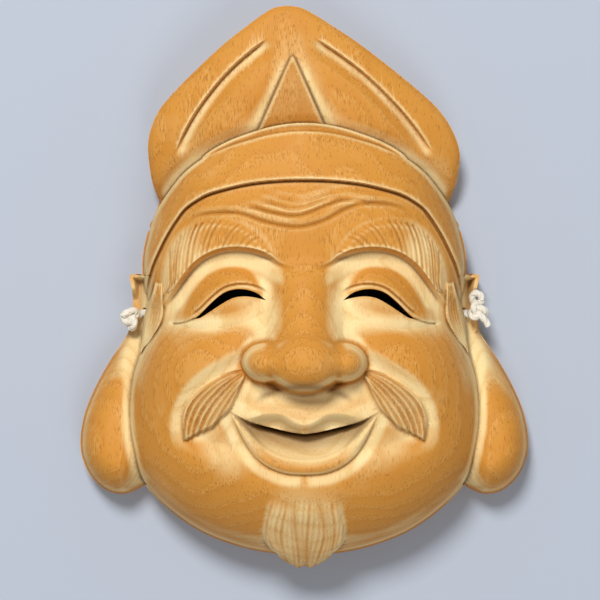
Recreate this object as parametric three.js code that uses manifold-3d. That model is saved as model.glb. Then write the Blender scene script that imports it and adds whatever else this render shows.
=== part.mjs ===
// A carved wooden mask of a laughing god in a tall folded cap, lying on its back: face up along +Z,
// cap's peak towards +Y, on z = 0. Its front is one height field, carved by the functions below:
// a domed head, a cap crown, ear lobes, then hollows, rolls and V-tool cuts along named lines.
// A white cotton cord runs through both ears and ends in a knot at each.
// Lengths are millimetres.
import * as THREE from 'three';
import { mergeVertices } from 'three/addons/utils/BufferGeometryUtils.js';
import { ConvexHull } from 'three/addons/math/ConvexHull.js';
import Module from 'manifold-3d';

const wasm = await Module();
wasm.setup();

// Sizes
const PEAK_Y = 149.5;          // the cap's peak; the beard's tip is as far below the origin
const LOBE_X = 120.9;          // half the width over the ear lobes
const RIM_Z = 6;               // height of the rounded sides where they meet the flat back
const DOME = 77;               // rise of the head above its rim
const WALL = 13;               // wood left between the front and the hollow behind
const HOLE_D = 6.4;            // cord hole through each ear
const CORD_D = 4.5;

// Small mathematics

const clamp = THREE.MathUtils.clamp;

function ramp(from, to, value) {
  const t = clamp((value - from) / (to - from), 0, 1);
  return t * t * (3 - 2 * t);
}

function softMax(a, b, k) {
  const h = clamp(0.5 + 0.5 * (a - b) / k, 0, 1);
  return b + (a - b) * h + k * h * (1 - h);
}

// a V of unit depth and the half width given
const vee = (distance, halfWidth) => clamp(1 - Math.abs(distance) / halfWidth, 0, 1);

const bell = (distance, width) => Math.exp(-((distance / width) ** 2));

function mound(x, y, cx, cy, rx, ry, tiltDegrees = 0) {
  const tilt = THREE.MathUtils.degToRad(tiltDegrees);
  const u = (x - cx) * Math.cos(tilt) + (y - cy) * Math.sin(tilt);
  const v = (y - cy) * Math.cos(tilt) - (x - cx) * Math.sin(tilt);
  return bell(u, rx) * bell(v, ry);
}

// the upper half of an ellipsoid, falling steeply outside it
function ball(x, y, cx, cy, rx, ry, top, deep) {
  const r = Math.hypot((x - cx) / rx, (y - cy) / ry);
  return top - deep * (1 - Math.sqrt(clamp(1 - r * r, 0.04, 1))) - deep * 4 * Math.max(r - 0.98, 0);
}

// a smooth curve through [position, value] knots in rising order, level outside them
function through(position, knots) {
  const last = knots.length - 1;
  const p = clamp(position, knots[0][0], knots[last][0]);
  let i = 0;
  while (i < last - 1 && p >= knots[i + 1][0]) i += 1;
  const slope = (k) => (k <= 0 || k >= last ? 0
    : (knots[k + 1][1] - knots[k - 1][1]) / (knots[k + 1][0] - knots[k - 1][0]));
  const h = knots[i + 1][0] - knots[i][0];
  const u = (p - knots[i][0]) / h;
  return (2 * u ** 3 - 3 * u * u + 1) * knots[i][1] + (u ** 3 - 2 * u * u + u) * h * slope(i)
    + (3 * u * u - 2 * u ** 3) * knots[i + 1][1] + (u ** 3 - u * u) * h * slope(i + 1);
}

// a smooth line through a few points, kept as short straight steps
class Line {
  constructor(points, steps = 5) {
    const curve = new THREE.SplineCurve(points.map(([x, y]) => new THREE.Vector2(x, y)));
    this.points = curve.getPoints((points.length - 1) * steps);
    this.reach = [0];
    for (let i = 1; i < this.points.length; i += 1) {
      this.reach.push(this.reach[i - 1] + this.points[i].distanceTo(this.points[i - 1]));
    }
    this.length = this.reach.at(-1);
    this.box = new THREE.Box2().setFromPoints(this.points);
  }

  // distance, share of the length, and distance signed + on the left of the line
  near(x, y) {
    let best = Infinity;
    let share = 0;
    let sign = 1;
    for (let i = 1; i < this.points.length; i += 1) {
      const a = this.points[i - 1];
      const dx = this.points[i].x - a.x;
      const dy = this.points[i].y - a.y;
      const t = clamp(((x - a.x) * dx + (y - a.y) * dy) / (dx * dx + dy * dy), 0, 1);
      const ex = x - a.x - t * dx;
      const ey = y - a.y - t * dy;
      const square = ex * ex + ey * ey;
      if (square < best) {
        best = square;
        share = (this.reach[i - 1] + t * (this.reach[i] - this.reach[i - 1])) / this.length;
        sign = dx * ey - dy * ex < 0 ? -1 : 1;
      }
    }
    const distance = Math.sqrt(best);
    return { distance, share, side: distance * sign };
  }

  // the point at a share of the length, moved to the left by an offset
  at(share, offset = 0) {
    const goal = clamp(share, 0, 1) * this.length;
    let i = 1;
    while (i < this.points.length - 1 && this.reach[i] < goal) i += 1;
    const step = this.points[i].clone().sub(this.points[i - 1]);
    const t = (goal - this.reach[i - 1]) / (this.reach[i] - this.reach[i - 1]);
    const place = this.points[i - 1].clone().addScaledVector(step, t);
    step.normalize();
    return new THREE.Vector2(place.x - step.y * offset, place.y + step.x * offset);
  }
}

// a closed region between two lines that run the same way
class Patch {
  constructor(first, second) {
    this.loop = [...first.points, ...(second ? [...second.points].reverse() : [])];
    this.box = new THREE.Box2().setFromPoints(this.loop);
  }

  holds(x, y) {
    if (!this.box.containsPoint({ x, y })) return false;
    let inside = false;
    for (let i = 0, j = this.loop.length - 1; i < this.loop.length; j = i, i += 1) {
      const a = this.loop[j];
      const b = this.loop[i];
      if ((a.y > y) !== (b.y > y) && x < (b.x - a.x) * (y - a.y) / (b.y - a.y) + a.x) inside = !inside;
    }
    return inside;
  }
}

// Lines of the carving. Those marked half are drawn for x > 0 and mirrored.

const mirrored = (half) => [...half.map(([x, y]) => [-x, y]), ...[...half].reverse()];

const HEAD_CENTRE_Y = -30;
const HEAD_OUT = new Line([
  [0, 118], [40, 106], [66, 80], [79, 46], [85.5, 24], [87, 12], [86, 0], [83.5, -12], [83.5, -22],
  [88.5, -34], [94, -50], [96.3, -66], [95.8, -80], [92, -95], [86, -105.5], [78, -115], [65.5, -125.3],
  [51.5, -133.5], [33, -140], [15, -143.3], [0, -144.3]], 6);                                    // half
const BAND_LOW = new Line(mirrored([
  [84.5, -3], [81, 9], [77, 18], [72, 27.5], [66, 36.5], [61, 42], [52, 47.3], [43, 50.2], [28, 53.4],
  [10, 55]]), 4);
const BAND_TOP = new Line(mirrored([
  [82, 33], [77, 42.5], [70, 51.5], [63, 59.3], [53, 66.6], [41, 72], [30, 75.5], [18, 78.5], [6, 80]]), 4);
const BEAD = { rise: 4.1, end: 54 };   // the bead parts from the band's edge by this much in the middle

const CROWN_LEAN = -9;         // how far the peak stands to the side
const CROWN_LEAN_FROM = 70;
const CROWN_OUT = new Line([
  [0, PEAK_Y], [7, 148.4], [14, 144.7], [23, 138.6], [35.5, 129.8], [52, 116.3], [66, 104], [75.5, 94],
  [81.2, 83.2], [83.6, 73], [82.8, 61.5], [80.5, 52], [75, 42], [60, 30], [0, 25]]);             // half
const CROWN_GROOVE = new Line([
  [11.4, 132], [22, 125], [33.5, 115.8], [43.5, 106], [53.5, 94.5], [61, 84], [66, 75.5], [69, 69.5]]);
const GROOVE_SLOPE = 9.5;      // width of the groove's long inner side
const GROOVE_WALL = 0.9;
const GROOVE_DEPTH = 5;
const CROWN = { side: 23, rise: 27, half: 88, fall: 0.16 };   // heights, and the fall towards the peak
const CREST = { x: -6.3, foot: 85, tip: 122, half: 16.3, wall: 1.2, top: 53.5 };   // the raised triangle

const BROW_TOP = new Line([
  [13, 12.5], [17, 18], [23, 26], [30, 31.3], [39, 34.3], [48, 34.8], [57, 32.6], [65, 27], [71, 18.5],
  [74, 8], [74, -4]]);                                                                           // half
const BROW_LOW = new Line([
  [13, 12.5], [17.5, 16.3], [25, 19.3], [33.5, 20.6], [43, 20], [51.3, 17], [58, 12.2], [63.5, 5.8],
  [68.5, -1], [74, -4]]);                                                                        // half
const SOCKET_TOP = new Line([
  [0, 9.5], [7, 10.3], [13, 12.8], [17.5, 16.3], [25, 19.3], [33.5, 20.6], [43, 20], [51.3, 17],
  [58, 12.2], [63.5, 5.8], [68.5, -1], [74, -8]]);                                               // half
const SLIT_UP = new Line([
  [19.8, -7], [24.5, -3.2], [30, -1.4], [36, -1.2], [42, -3.2], [48, -8], [54, -14], [57.5, -16.6]]);
const SLIT_LOW = new Line([
  [19.8, -7], [25, -5.6], [31, -4.9], [37, -5.8], [43, -9], [49, -12.9], [54, -16], [57.5, -16.6]]);
const LID_TAIL = new Line([[57.5, -16.6], [61, -18], [65, -19], [70, -19.3]]);
const LID_CREASE = new Line([
  [18.5, -4.2], [22, -0.8], [28, 1.2], [35, 1.4], [42, -0.6], [48.5, -5.6], [55, -11.8], [61.5, -15.9]]);
const EYE_UP = new Line([
  [13, -7], [16, 0], [23, 8], [33, 12.5], [44, 11.5], [54, 5], [62, -4], [68, -12], [72.5, -19.6]]);
const EYE_LOW = new Line([
  [13, -7], [17.5, -10.5], [25, -15.5], [36, -19.8], [48, -21.5], [60, -21], [72.5, -19.6]]);

const MOUSTACHE_UP = new Line([
  [31, -42.5], [37, -43], [47, -47], [55.8, -53.2], [62.2, -60.8], [64.6, -70], [63.4, -81.5]]);
const MOUSTACHE_LOW = new Line([
  [31, -42.5], [29.5, -45.5], [31.5, -50.5], [35.2, -57.8], [39, -64.3], [47.4, -72.6], [54, -76],
  [63.4, -81.5]]);
const MOUSTACHE_IN = new Line([
  [28, -44], [30.5, -49.5], [35.2, -57.8], [39.5, -66], [45, -76], [52, -88]]);
const SMILE_FOLD = new Line([
  [33, -28], [44, -35], [56, -43], [66, -54], [71.5, -68], [70.5, -83], [61, -94], [46, -101],
  [28, -107], [0, -110]]);

const LIP_BOW = new Line([
  [0, -71.2], [5, -69.4], [10.5, -66], [15, -65], [21, -65.4], [28, -67.3], [33, -66.6]]);
const LIP_EDGE = new Line([
  [0, -75.9], [7, -75], [14.5, -73.4], [21, -71.8], [28, -69.5], [34, -66.9], [39, -64]]);
const MOUTH_LOW = new Line([
  [0, -90.5], [10, -89.3], [18, -86], [25, -80.5], [30.5, -74], [35, -68.6], [39, -64]]);
const LOWER_LIP = new Line([
  [0, -97.4], [10, -96.6], [19, -93.3], [26.5, -87.5], [31.5, -80], [35.5, -72], [39, -64]]);

const BEARD_SIDE = new Line([
  [0, -104], [12, -106], [18.5, -111], [20, -117], [21.8, -125], [21.6, -133], [18.5, -138.5],
  [14.6, -142], [9.8, -145.8], [5, -148.6], [2.5, -PEAK_Y], [0, -147.8]]);
const LOBE = new Line([
  [84, -8], [93, -14], [95.6, -25], [105.3, -40], [113, -54], [118.6, -68], [LOBE_X, -82],
  [119.6, -92.5], [115, -102], [107.5, -109], [99, -111.5], [91.5, -109.8], [85, -105.5], [78, -95],
  [74, -80], [74, -50], [78, -20], [84, -8]]);
const EAR = new Line([
  [80, 7], [86, 7], [93.5, 6.6], [92.6, 0], [92.4, -8], [93, -16], [92.5, -24], [80, -26], [80, 7]], 3);

// Regions

const crownPatch = new Patch(CROWN_OUT);
const browPatch = new Patch(BROW_TOP, BROW_LOW);
const eyePatch = new Patch(EYE_UP, EYE_LOW);
const slitPatch = new Patch(SLIT_UP, SLIT_LOW);
const moustachePatch = new Patch(MOUSTACHE_UP, MOUSTACHE_LOW);
const mouthPatch = new Patch(LIP_EDGE, MOUTH_LOW);
const lowerLipPatch = new Patch(MOUTH_LOW, LOWER_LIP);
const beardPatch = new Patch(BEARD_SIDE);
const lobePatch = new Patch(LOBE);
const earPatch = new Patch(EAR);

// V-tool cuts: each is a line with a half width and a depth

const cut = (line, halfWidth, depth) => ({ line, halfWidth, depth });

const WRINKLES = [
  cut(new Line([[-28, 45], [-17, 43], [-7.5, 40.4], [-0.5, 41], [8, 44], [18, 47.2]]), 1.5, 1.1),
  cut(new Line([[-38, 40.3], [-27, 41], [-17, 38.4], [-6, 36.6], [2.5, 38.3], [12.5, 42.5], [22, 45],
    [38, 43]]), 1.6, 1.3),
  cut(new Line([[-70, 22], [-64.5, 31], [-58, 36.2], [-48, 38.2], [-34, 38], [-22, 34], [-11, 31.4],
    [-1.5, 30.8], [10, 34], [21, 40], [32, 43.2], [46, 42.4], [58, 37.5], [66, 29.5]]), 1.7, 1.4)];

// a line that runs along two others and crosses from the first to the second
function between(first, second, alongs, acrosses) {
  return new Line(alongs.map((along, i) => {
    const place = first.at(along).lerp(second.at(along), acrosses[i]);
    return [place.x, place.y];
  }), 3);
}

// Each hair line is given by its share of the way across the tuft. Lines at whole steps are cuts,
// and the ridges lie half way between them.

const BROW_STROKES = 11;
const BROW_RISE = 1.5;
const MOUSTACHE_STRANDS = 5;
const MOUSTACHE_RISE = 4.6;
const BEARD_STRANDS = 14;
const SIDEBURN_STRANDS = 4;

// hairs grow from the brow's top edge outwards and down, the outer ones along its arc to the tail
function browHair(share) {
  const steps = [0.02, 0.25, 0.5, 0.75, 1];
  const start = 0.03 + 0.75 * share;
  const end = through(start, [[0.03, 0.1], [0.2, 0.32], [0.34, 0.48], [0.49, 0.67], [0.64, 0.9], [0.78, 1]]);
  return between(BROW_TOP, BROW_LOW, steps.map((t) => start + (end - start) * t), steps);
}

function moustacheHair(share) {
  const steps = [0.03, 0.2, 0.4, 0.6, 0.8, 1];
  return between(MOUSTACHE_UP, MOUSTACHE_IN, steps, steps.map(() => share));
}

const beardHalfWidth = (y) => through(y, [[-150, 13], [-142, 17], [-133, 21], [-125, 21.5], [-108, 17.5]]);

function beardHair(share) {
  const steps = [-109, -117, -125, -133, -141, -149];
  return new Line(steps.map((y) => [(2 * share - 1) * beardHalfWidth(y), y]), 3);
}

const SIDEBURN_FROM = -35;
const SIDEBURN_TO = 4.5;
const sideburnMiddle = (y) => through(y, [[-35, 87], [-27.5, 83.6], [-17, 79.5], [-7, 77.7], [4.5, 76.4]]);
const sideburnHalfWidth = (y) => through(y, [[-35, 0.6], [-27.5, 3.2], [-17, 5.5], [-7, 4.2], [4.5, 2.5]]);

const SIDEBURN_EDGE = new Line([4, -6, -15, -24, -33].map((y) => [
  sideburnMiddle(y) + 1.2 * sideburnHalfWidth(y), y]), 3);

const sideburnPatch = new Patch(SIDEBURN_EDGE, new Line([[74, -33], [74, 4]], 1));

function sideburnHair(share) {
  return new Line([4, -6, -15, -24, -33].map((y) => [
    sideburnMiddle(y) + (2 * share - 1) * sideburnHalfWidth(y), y]), 3);
}

// cuts between strands, each as deep as its own strength lets it be
function combed(hair, strands, halfWidth, depth, strength = () => 1) {
  const line = (half) => hair(half / (2 * strands));
  return {
    cuts: Array.from({ length: strands - 1 }, (_, k) => cut(
      line(2 * k + 2), halfWidth, depth * strength((k + 1) / strands))),
    rows: Array.from({ length: 2 * strands - 1 }, (_, k) => line(k + 1)),
  };
}

const browStrength = (share) => 0.6 + 0.4 * ramp(0.45, 0.7, share);

const BROW_HAIR = combed(browHair, BROW_STROKES, 1.5, 1.3, browStrength);
const MOUSTACHE_HAIR = combed(moustacheHair, MOUSTACHE_STRANDS, 2, 2);
const BEARD_HAIR = combed(beardHair, BEARD_STRANDS, 1.4, 1.2);
const SIDEBURN_HAIR = combed(sideburnHair, SIDEBURN_STRANDS, 1.1, 0.9);

// the deepest of some cuts at a point
function deepest(cuts, x, y) {
  let deep = 0;
  for (const { line, halfWidth, depth } of cuts) {
    const { box } = line;
    if (x < box.min.x - halfWidth || x > box.max.x + halfWidth) continue;
    if (y < box.min.y - halfWidth || y > box.max.y + halfWidth) continue;
    deep = Math.max(deep, depth * vee(line.near(x, y).distance, halfWidth));
  }
  return deep;
}

// The head

const headAngles = HEAD_OUT.points.map((p) => Math.atan2(p.y - HEAD_CENTRE_Y, p.x));
const headRadii = HEAD_OUT.points.map((p) => Math.hypot(p.x, p.y - HEAD_CENTRE_Y));

// 0 at the head's middle, 1 on its outline
function headShare(x, y) {
  const angle = Math.atan2(y - HEAD_CENTRE_Y, Math.abs(x));
  let i = 1;
  while (i < headAngles.length - 1 && headAngles[i] > angle) i += 1;
  const t = clamp((angle - headAngles[i - 1]) / (headAngles[i] - headAngles[i - 1]), 0, 1);
  return Math.hypot(x, y - HEAD_CENTRE_Y) / THREE.MathUtils.lerp(headRadii[i - 1], headRadii[i], t);
}

const domeHeight = (share) => RIM_Z + DOME * (1 - clamp(share, 0, 1) ** 3) ** (1 / 2.3);

function swell(x, y) {
  const ax = Math.abs(x);
  return 6 * mound(ax, y, 56, -42, 27, 24) + 2.5 * mound(x, y, 0, -108, 30, 12)
    + 1.5 * mound(ax, y, 62, -92, 26, 22) + 2.5 * mound(x, y, 0, 32, 45, 20)
    + 6.5 * mound(x, y, 0, -72, 33, 22);
}

// the scooped recess round the moustache and mouth
function smileHollow(ax, y) {
  const width = through(y, [[-112, 42], [-95, 36], [-80, 20], [-60, 12], [-30, 11]]);
  return 6 * ramp(0, width, -SMILE_FOLD.near(ax, y).side) * ramp(-24, -40, y);
}

function eyeSocket(ax, y) {
  const { side } = SOCKET_TOP.near(ax, y);
  const reach = Math.min(1, 1.6 * mound(ax, y, 41, 0, 34, 20, -14));
  return 8 * ramp(-0.5, 3, -side) * reach * ramp(80, 68, ax)
    + 1.2 * ramp(-1.5, 1.5, -side) * ramp(-8, 6, y) * ramp(24, 8, ax);
}

function eyeball(ax, y) {
  if (!eyePatch.holds(ax, y)) return 0;
  const above = EYE_UP.near(ax, y).distance;
  const below = EYE_LOW.near(ax, y).distance;
  return 6 * ramp(0, 11, above) * (1 - (1 - clamp(below / 13, 0, 1)) ** 2);
}

function lids(ax, y) {
  const crease = LID_CREASE.near(ax, y);
  const fade = ramp(0, 0.1, crease.share) * ramp(1, 0.85, crease.share);
  const tail = LID_TAIL.near(ax, y);
  return fade * (0.7 * vee(crease.side + 1.6, 1.6) - 1.1 * vee(crease.side, 0.9))
    - 1.4 * vee(tail.distance, 0.9) * ramp(1, 0.85, tail.share);
}

function noseHeight(x, y) {
  const ax = Math.abs(x);
  const ridge = through(y, [[-46, 103], [-38, 105], [-30, 102.5], [-20, 97.5], [-10, 93], [0, 89.5],
    [10, 86.5], [22, 84]]);
  const flank = through(y, [[-40, 0.04], [-20, 0.046], [0, 0.038], [14, 0.016]]);
  const bridge = ridge - flank * x * x - 14 * ramp(4, 24, y) - 60 * (ramp(-42, -56, y) + ramp(-60, -90, y));
  const tip = ball(x, y, 0, -38.7, 19, 14.6, 109, 18);
  const wing = ball(ax, y, 20, -38.6, 12.3, 10.3, 100, 19);
  return softMax(softMax(bridge, tip, 7), wing, 9);
}

function moustache(ax, y) {
  if (!moustachePatch.holds(ax, y)) return 0;
  const above = MOUSTACHE_UP.near(ax, y).distance;
  const below = MOUSTACHE_LOW.near(ax, y).distance;
  const edge = ramp(0, 1, Math.min(above, below));
  return MOUSTACHE_RISE * ramp(0, 1.8, below) * ramp(0, 2.5, above) * ramp(-40, -50, y)
    - deepest(MOUSTACHE_HAIR.cuts, ax, y) * edge;
}

function brow(ax, y) {
  if (!browPatch.holds(ax, y)) return 0;
  const above = BROW_TOP.near(ax, y).distance;
  return BROW_RISE * ramp(0, 4, above) - deepest(BROW_HAIR.cuts, ax, y) * ramp(0, 1.5, above);
}

function wrinkles(x, y) {
  return WRINKLES.reduce((sum, { line, halfWidth, depth }) => {
    const { distance, share, side } = line.near(x, y);
    const fade = ramp(0, 0.2, share) * ramp(1, 0.8, share);
    return sum + depth * fade * (0.6 * bell(side - 3.2, 2) - vee(distance, halfWidth));
  }, 0);
}

function mouth(x, y) {
  const ax = Math.abs(x);
  const bow = LIP_BOW.near(ax, y);
  const edge = LIP_EDGE.near(ax, y);
  const floorEdge = MOUTH_LOW.near(ax, y);
  const chinEdge = LOWER_LIP.near(ax, y);
  let z = -2.6 * mound(x, y, 0, -57, 24, 5);
  z += (1.8 * bell(bow.distance, 3.6) - 0.75 * clamp(-bow.side, 0, 7)) * ramp(1, 0.75, bow.share)
    * ramp(-2.5, -0.8, edge.side);
  if (mouthPatch.holds(ax, y)) {
    const tall = edge.distance + floorEdge.distance;
    const down = 1 - edge.distance / (tall + 1e-6);
    z -= (15 * down ** 1.25 * ramp(0, 0.8, edge.distance) * ramp(0, 10, tall) + 0.8)
      * ramp(0, 2.2, floorEdge.distance);
  }
  if (lowerLipPatch.holds(ax, y)) {
    const tall = floorEdge.distance + chinEdge.distance;
    z += 2 * Math.sin(Math.PI * floorEdge.distance / (tall + 1e-6)) * ramp(0, 5, tall);
  }
  return z - 1.5 * bell(chinEdge.distance, 4.5) * ramp(1, 0.75, chinEdge.share) * ramp(0.7, 0, chinEdge.side);
}

function bandHeight(x, y) {
  const low = BAND_LOW.near(x, y).side;
  return 3.4 * ramp(-0.3, 0.7, low) - 1.3 * vee(low + 0.7, 1.1);
}

// a height that changes in straight steps through [position, value] corners in rising order
function stepped(position, corners) {
  const i = corners.findIndex(([place]) => place > position);
  if (i < 0) return corners.at(-1)[1];
  if (i === 0) return corners[0][1];
  const [p, a] = corners[i - 1];
  const [q, b] = corners[i];
  return a + (b - a) * (position - p) / (q - p);
}

const beadRise = (x) => BEAD.rise * Math.sqrt(Math.max(1 - (x / BEAD.end) ** 2, 0));

// the band's upper edge: a crisp corner, a sunk strip, a bead, then the drop to the crown
function bandDrop(x, above) {
  const rise = beadRise(x);
  const strip = stepped(above, [[-2, 0], [0, 0.2], [1, 2], [1.8, 2.2]]);
  const bead = 1.5 * bell(above - rise, 0.9) * ramp(0.4, 1.6, rise);
  return strip - bead + 30 * Math.max(above - rise - 0.8, 0);
}

const NOTHING = -5;            // below the back: no wood here

function headHeight(x, y, aboveBand) {
  const share = headShare(x, y);
  if (share >= 1) return NOTHING;
  const ax = Math.abs(x);
  let z = domeHeight(share) + swell(x, y) - smileHollow(ax, y) - eyeSocket(ax, y) + eyeball(ax, y)
    + lids(ax, y);
  z = softMax(z, noseHeight(x, y), 1.2 + 7 * ramp(-26, -8, y));
  z -= 7 * mound(ax, y, 15.3, -50.3, 4.6, 1.9, 18);
  return z + moustache(ax, y) + brow(ax, y) + wrinkles(x, y) + mouth(x, y) + bandHeight(x, y)
    - bandDrop(x, aboveBand);
}

function withBeard(x, y, z) {
  const ax = Math.abs(x);
  if (!beardPatch.holds(ax, y)) return z;
  const { distance } = BEARD_SIDE.near(ax, y);
  const body = through(y, [[-150, 34], [-146, 39], [-140, 47], [-133, 54.5], [-125, 62], [-117, 68.5],
    [-108, 73.5], [-100, 76]]);
  const tuft = body + 1.5 - deepest(BEARD_HAIR.cuts, x, y) * ramp(-108, -115, y) - 0.006 * x * x
    - 4 * ramp(3, 0, distance) * ramp(-112, -125, y);
  if (z < 20) return tuft;
  // the tuft's edge is soft on the chin, and steep where it hangs over the chin's rim
  const edge = Math.max(ramp(0, 2.5 - 1.7 * ramp(50, 38, z), distance), ramp(32, 24, z));
  const share = ramp(-104, -118, y) * edge;
  return Math.max(z, z + (Math.max(tuft, z + 0.5) - z) * share);
}

// Ears, their lobes and the sideburns

function sideHeight(x, y) {
  const ax = Math.abs(x);
  let z = NOTHING;
  if (lobePatch.holds(ax, y)) {
    const inward = 1 - clamp(LOBE.near(ax, y).distance / 17, 0, 1);
    const top = through(y, [[-112, 28], [-90, 33], [-60, 29], [-30, 20], [-10, 14]]);
    z = RIM_Z + 1 + top * Math.sqrt(1 - inward * inward) - 5 * ramp(98, 88, ax);
  }
  if (earPatch.holds(ax, y)) {
    const rim = ramp(4, 1.5, EAR.near(ax, y).distance) * ramp(-7, 0, y);
    z = Math.max(z, 15 + 9 * rim + 8 * ramp(90, 84, ax) * ramp(-30, 0, y));
  }
  const across = Math.abs(ax - sideburnMiddle(y)) / sideburnHalfWidth(y);
  if (across < 1.3 && y > SIDEBURN_FROM && y < SIDEBURN_TO) {
    const top = 51 + 5.5 * ramp(-14, -2, y) - 5 * ramp(1, SIDEBURN_TO, y) - 1.5 * (ax - 76);
    z = Math.max(z, top - 14 * ramp(0.7, 1.3, across) - deepest(SIDEBURN_HAIR.cuts, ax, y));
  }
  return z;
}

// The cap's crown

const crownLean = (y) => CROWN_LEAN * clamp((y - CROWN_LEAN_FROM) / (PEAK_Y - CROWN_LEAN_FROM), 0, 1);

function crownHeight(x, y, aboveBand) {
  const u = Math.abs(x - crownLean(y));
  if (!crownPatch.holds(u, y)) return NOTHING;
  const foot = 4 * ramp(12, 0, aboveBand);
  let z = CROWN.side + CROWN.rise * (1 - clamp(u / CROWN.half, 0, 1) ** 1.8)
    - CROWN.fall * Math.max(y - CREST.foot, 0)
    - 0.01 * Math.max(CREST.foot - y, 0) ** 2 * (u / 84) ** 2 - foot;
  if (y < CREST.tip) {
    const half = CREST.half * Math.min((CREST.tip - y) / (CREST.tip - CREST.foot), 2);
    const out = (Math.abs(x - CREST.x) - half) * Math.cos(Math.atan(CREST.half / (CREST.tip - CREST.foot)));
    const low = ramp(CREST.tip, 88, y);
    const flat = Math.max(CREST.top - CROWN.fall * (y - CREST.foot) - foot, z);
    const scoop = z - 5.2 * low * clamp(1 - out / (9 + 9 * low), 0, 1) ** 1.5;
    z = THREE.MathUtils.lerp(flat, scoop, clamp(out / CREST.wall, 0, 1));
  }
  const groove = CROWN_GROOVE.near(u, y);
  const width = groove.side < 0 ? GROOVE_SLOPE : GROOVE_WALL;
  z -= GROOVE_DEPTH * vee(groove.side, width) * ramp(0, 0.12, groove.share) * ramp(1, 0.82, groove.share);
  const edge = vee(CROWN_OUT.near(u, y).distance, 4.5);
  return z - 3.2 * (1 - Math.sqrt(1 - edge * edge));
}

function frontHeight(x, y) {
  const aboveBand = BAND_TOP.near(x, y).side;
  const head = softMax(withBeard(x, y, headHeight(x, y, aboveBand)), sideHeight(x, y), 0.8);
  return Math.max(softMax(head, crownHeight(x, y, aboveBand), 0.8), 2);
}

// The outline of the whole front, found outwards from a point in the face

const OUTLINE_CENTRE = new THREE.Vector2(0, -7);

function bothSides(points, lean = () => 0) {
  return [1, -1].map((sign) => points.map((p) => new THREE.Vector2(sign * p.x + lean(p.y), p.y)));
}

const silhouettes = [HEAD_OUT, LOBE, EAR, BEARD_SIDE].flatMap((line) => bothSides(line.points));
silhouettes.push(...bothSides(CROWN_OUT.points, crownLean));

// the furthest crossing of a ray with the silhouettes
function reachOut(angle) {
  const dx = Math.cos(angle);
  const dy = Math.sin(angle);
  let far = 0;
  for (const loop of silhouettes) {
    for (let i = 1; i < loop.length; i += 1) {
      const ax = loop[i - 1].x - OUTLINE_CENTRE.x;
      const ay = loop[i - 1].y - OUTLINE_CENTRE.y;
      const bx = loop[i].x - loop[i - 1].x;
      const by = loop[i].y - loop[i - 1].y;
      const cross = dx * by - dy * bx;
      const t = (ax * by - ay * bx) / cross;
      const s = (ax * dy - ay * dx) / cross;
      if (s >= 0 && s <= 1 && t > far) far = t;
    }
  }
  return far;
}

// the points of a stretch of outline that keep it within a tolerance, with no step too long
function thinned(points, tolerance, longest) {
  const last = points.length - 1;
  if (last < 2) return [points[0]];
  const chord = points[last].clone().sub(points[0]);
  let split = 0;
  let most = tolerance;
  points.forEach((p, i) => {
    const off = Math.abs(chord.cross(p.clone().sub(points[0]))) / Math.max(chord.length(), 1e-6);
    if (off > most) {
      most = off;
      split = i;
    }
  });
  if (split === 0 && chord.length() > longest) split = Math.round(last / 2);
  if (split === 0) return [points[0]];
  return [...thinned(points.slice(0, split + 1), tolerance, longest),
    ...thinned(points.slice(split), tolerance, longest)];
}

function outlineOfMask(tolerance, longest) {
  const count = 1440;
  const rim = Array.from({ length: count + 1 }, (_, i) => {
    const angle = 2 * Math.PI * (i % count) / count;
    const toRim = new THREE.Vector2(Math.cos(angle), Math.sin(angle)).multiplyScalar(reachOut(angle));
    return toRim.add(OUTLINE_CENTRE);
  });
  return [0, 1, 2, 3].flatMap((k) => thinned(
    rim.slice(k * count / 4, (k + 1) * count / 4 + 1), tolerance, longest));
}

// A solid under a height field: Delaunay triangles of scattered points, found as the lower side of
// the hull of the points lifted onto a paraboloid, with a skirt and a flat floor. The field may end
// at the outline, so there it is read a little way in.

// Corners stand at least a little apart, those added where a triangle strays a little more, so that
// none falls inside a cliff.

const FRONT_MESH = { least: 0.8, apart: 1.6, tolerances: [1.6, 1, 0.7, 0.6] };
const BACK_MESH = { least: 4, apart: 4, tolerances: [2.5, 1.6] };
const READ_IN = 0.5;
const toCentre = (p, share) => p.clone().sub(OUTLINE_CENTRE).multiplyScalar(share).add(OUTLINE_CENTRE);
const justInside = (p) => toCentre(p, 1 - READ_IN / p.distanceTo(OUTLINE_CENTRE));

function triangulate(points) {
  const lifted = points.map((p) => new THREE.Vector3(p.x, p.y, (p.x * p.x + p.y * p.y) / 100));
  const index = new Map(lifted.map((p, i) => [p, i]));
  const hull = new ConvexHull().setFromPoints(lifted);
  return hull.faces.filter((face) => face.normal.z < 0).map((face) => {
    const edge = face.edge;
    return [edge.tail().point, edge.head().point, edge.next.head().point].map((p) => index.get(p)).reverse();
  });
}

function facesInside(points, outline) {
  const region = new Patch({ points: outline });
  return triangulate(points).filter(([a, b, c]) => region.holds(
    (points[a].x + points[b].x + points[c].x) / 3, (points[a].y + points[b].y + points[c].y) / 3));
}

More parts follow.
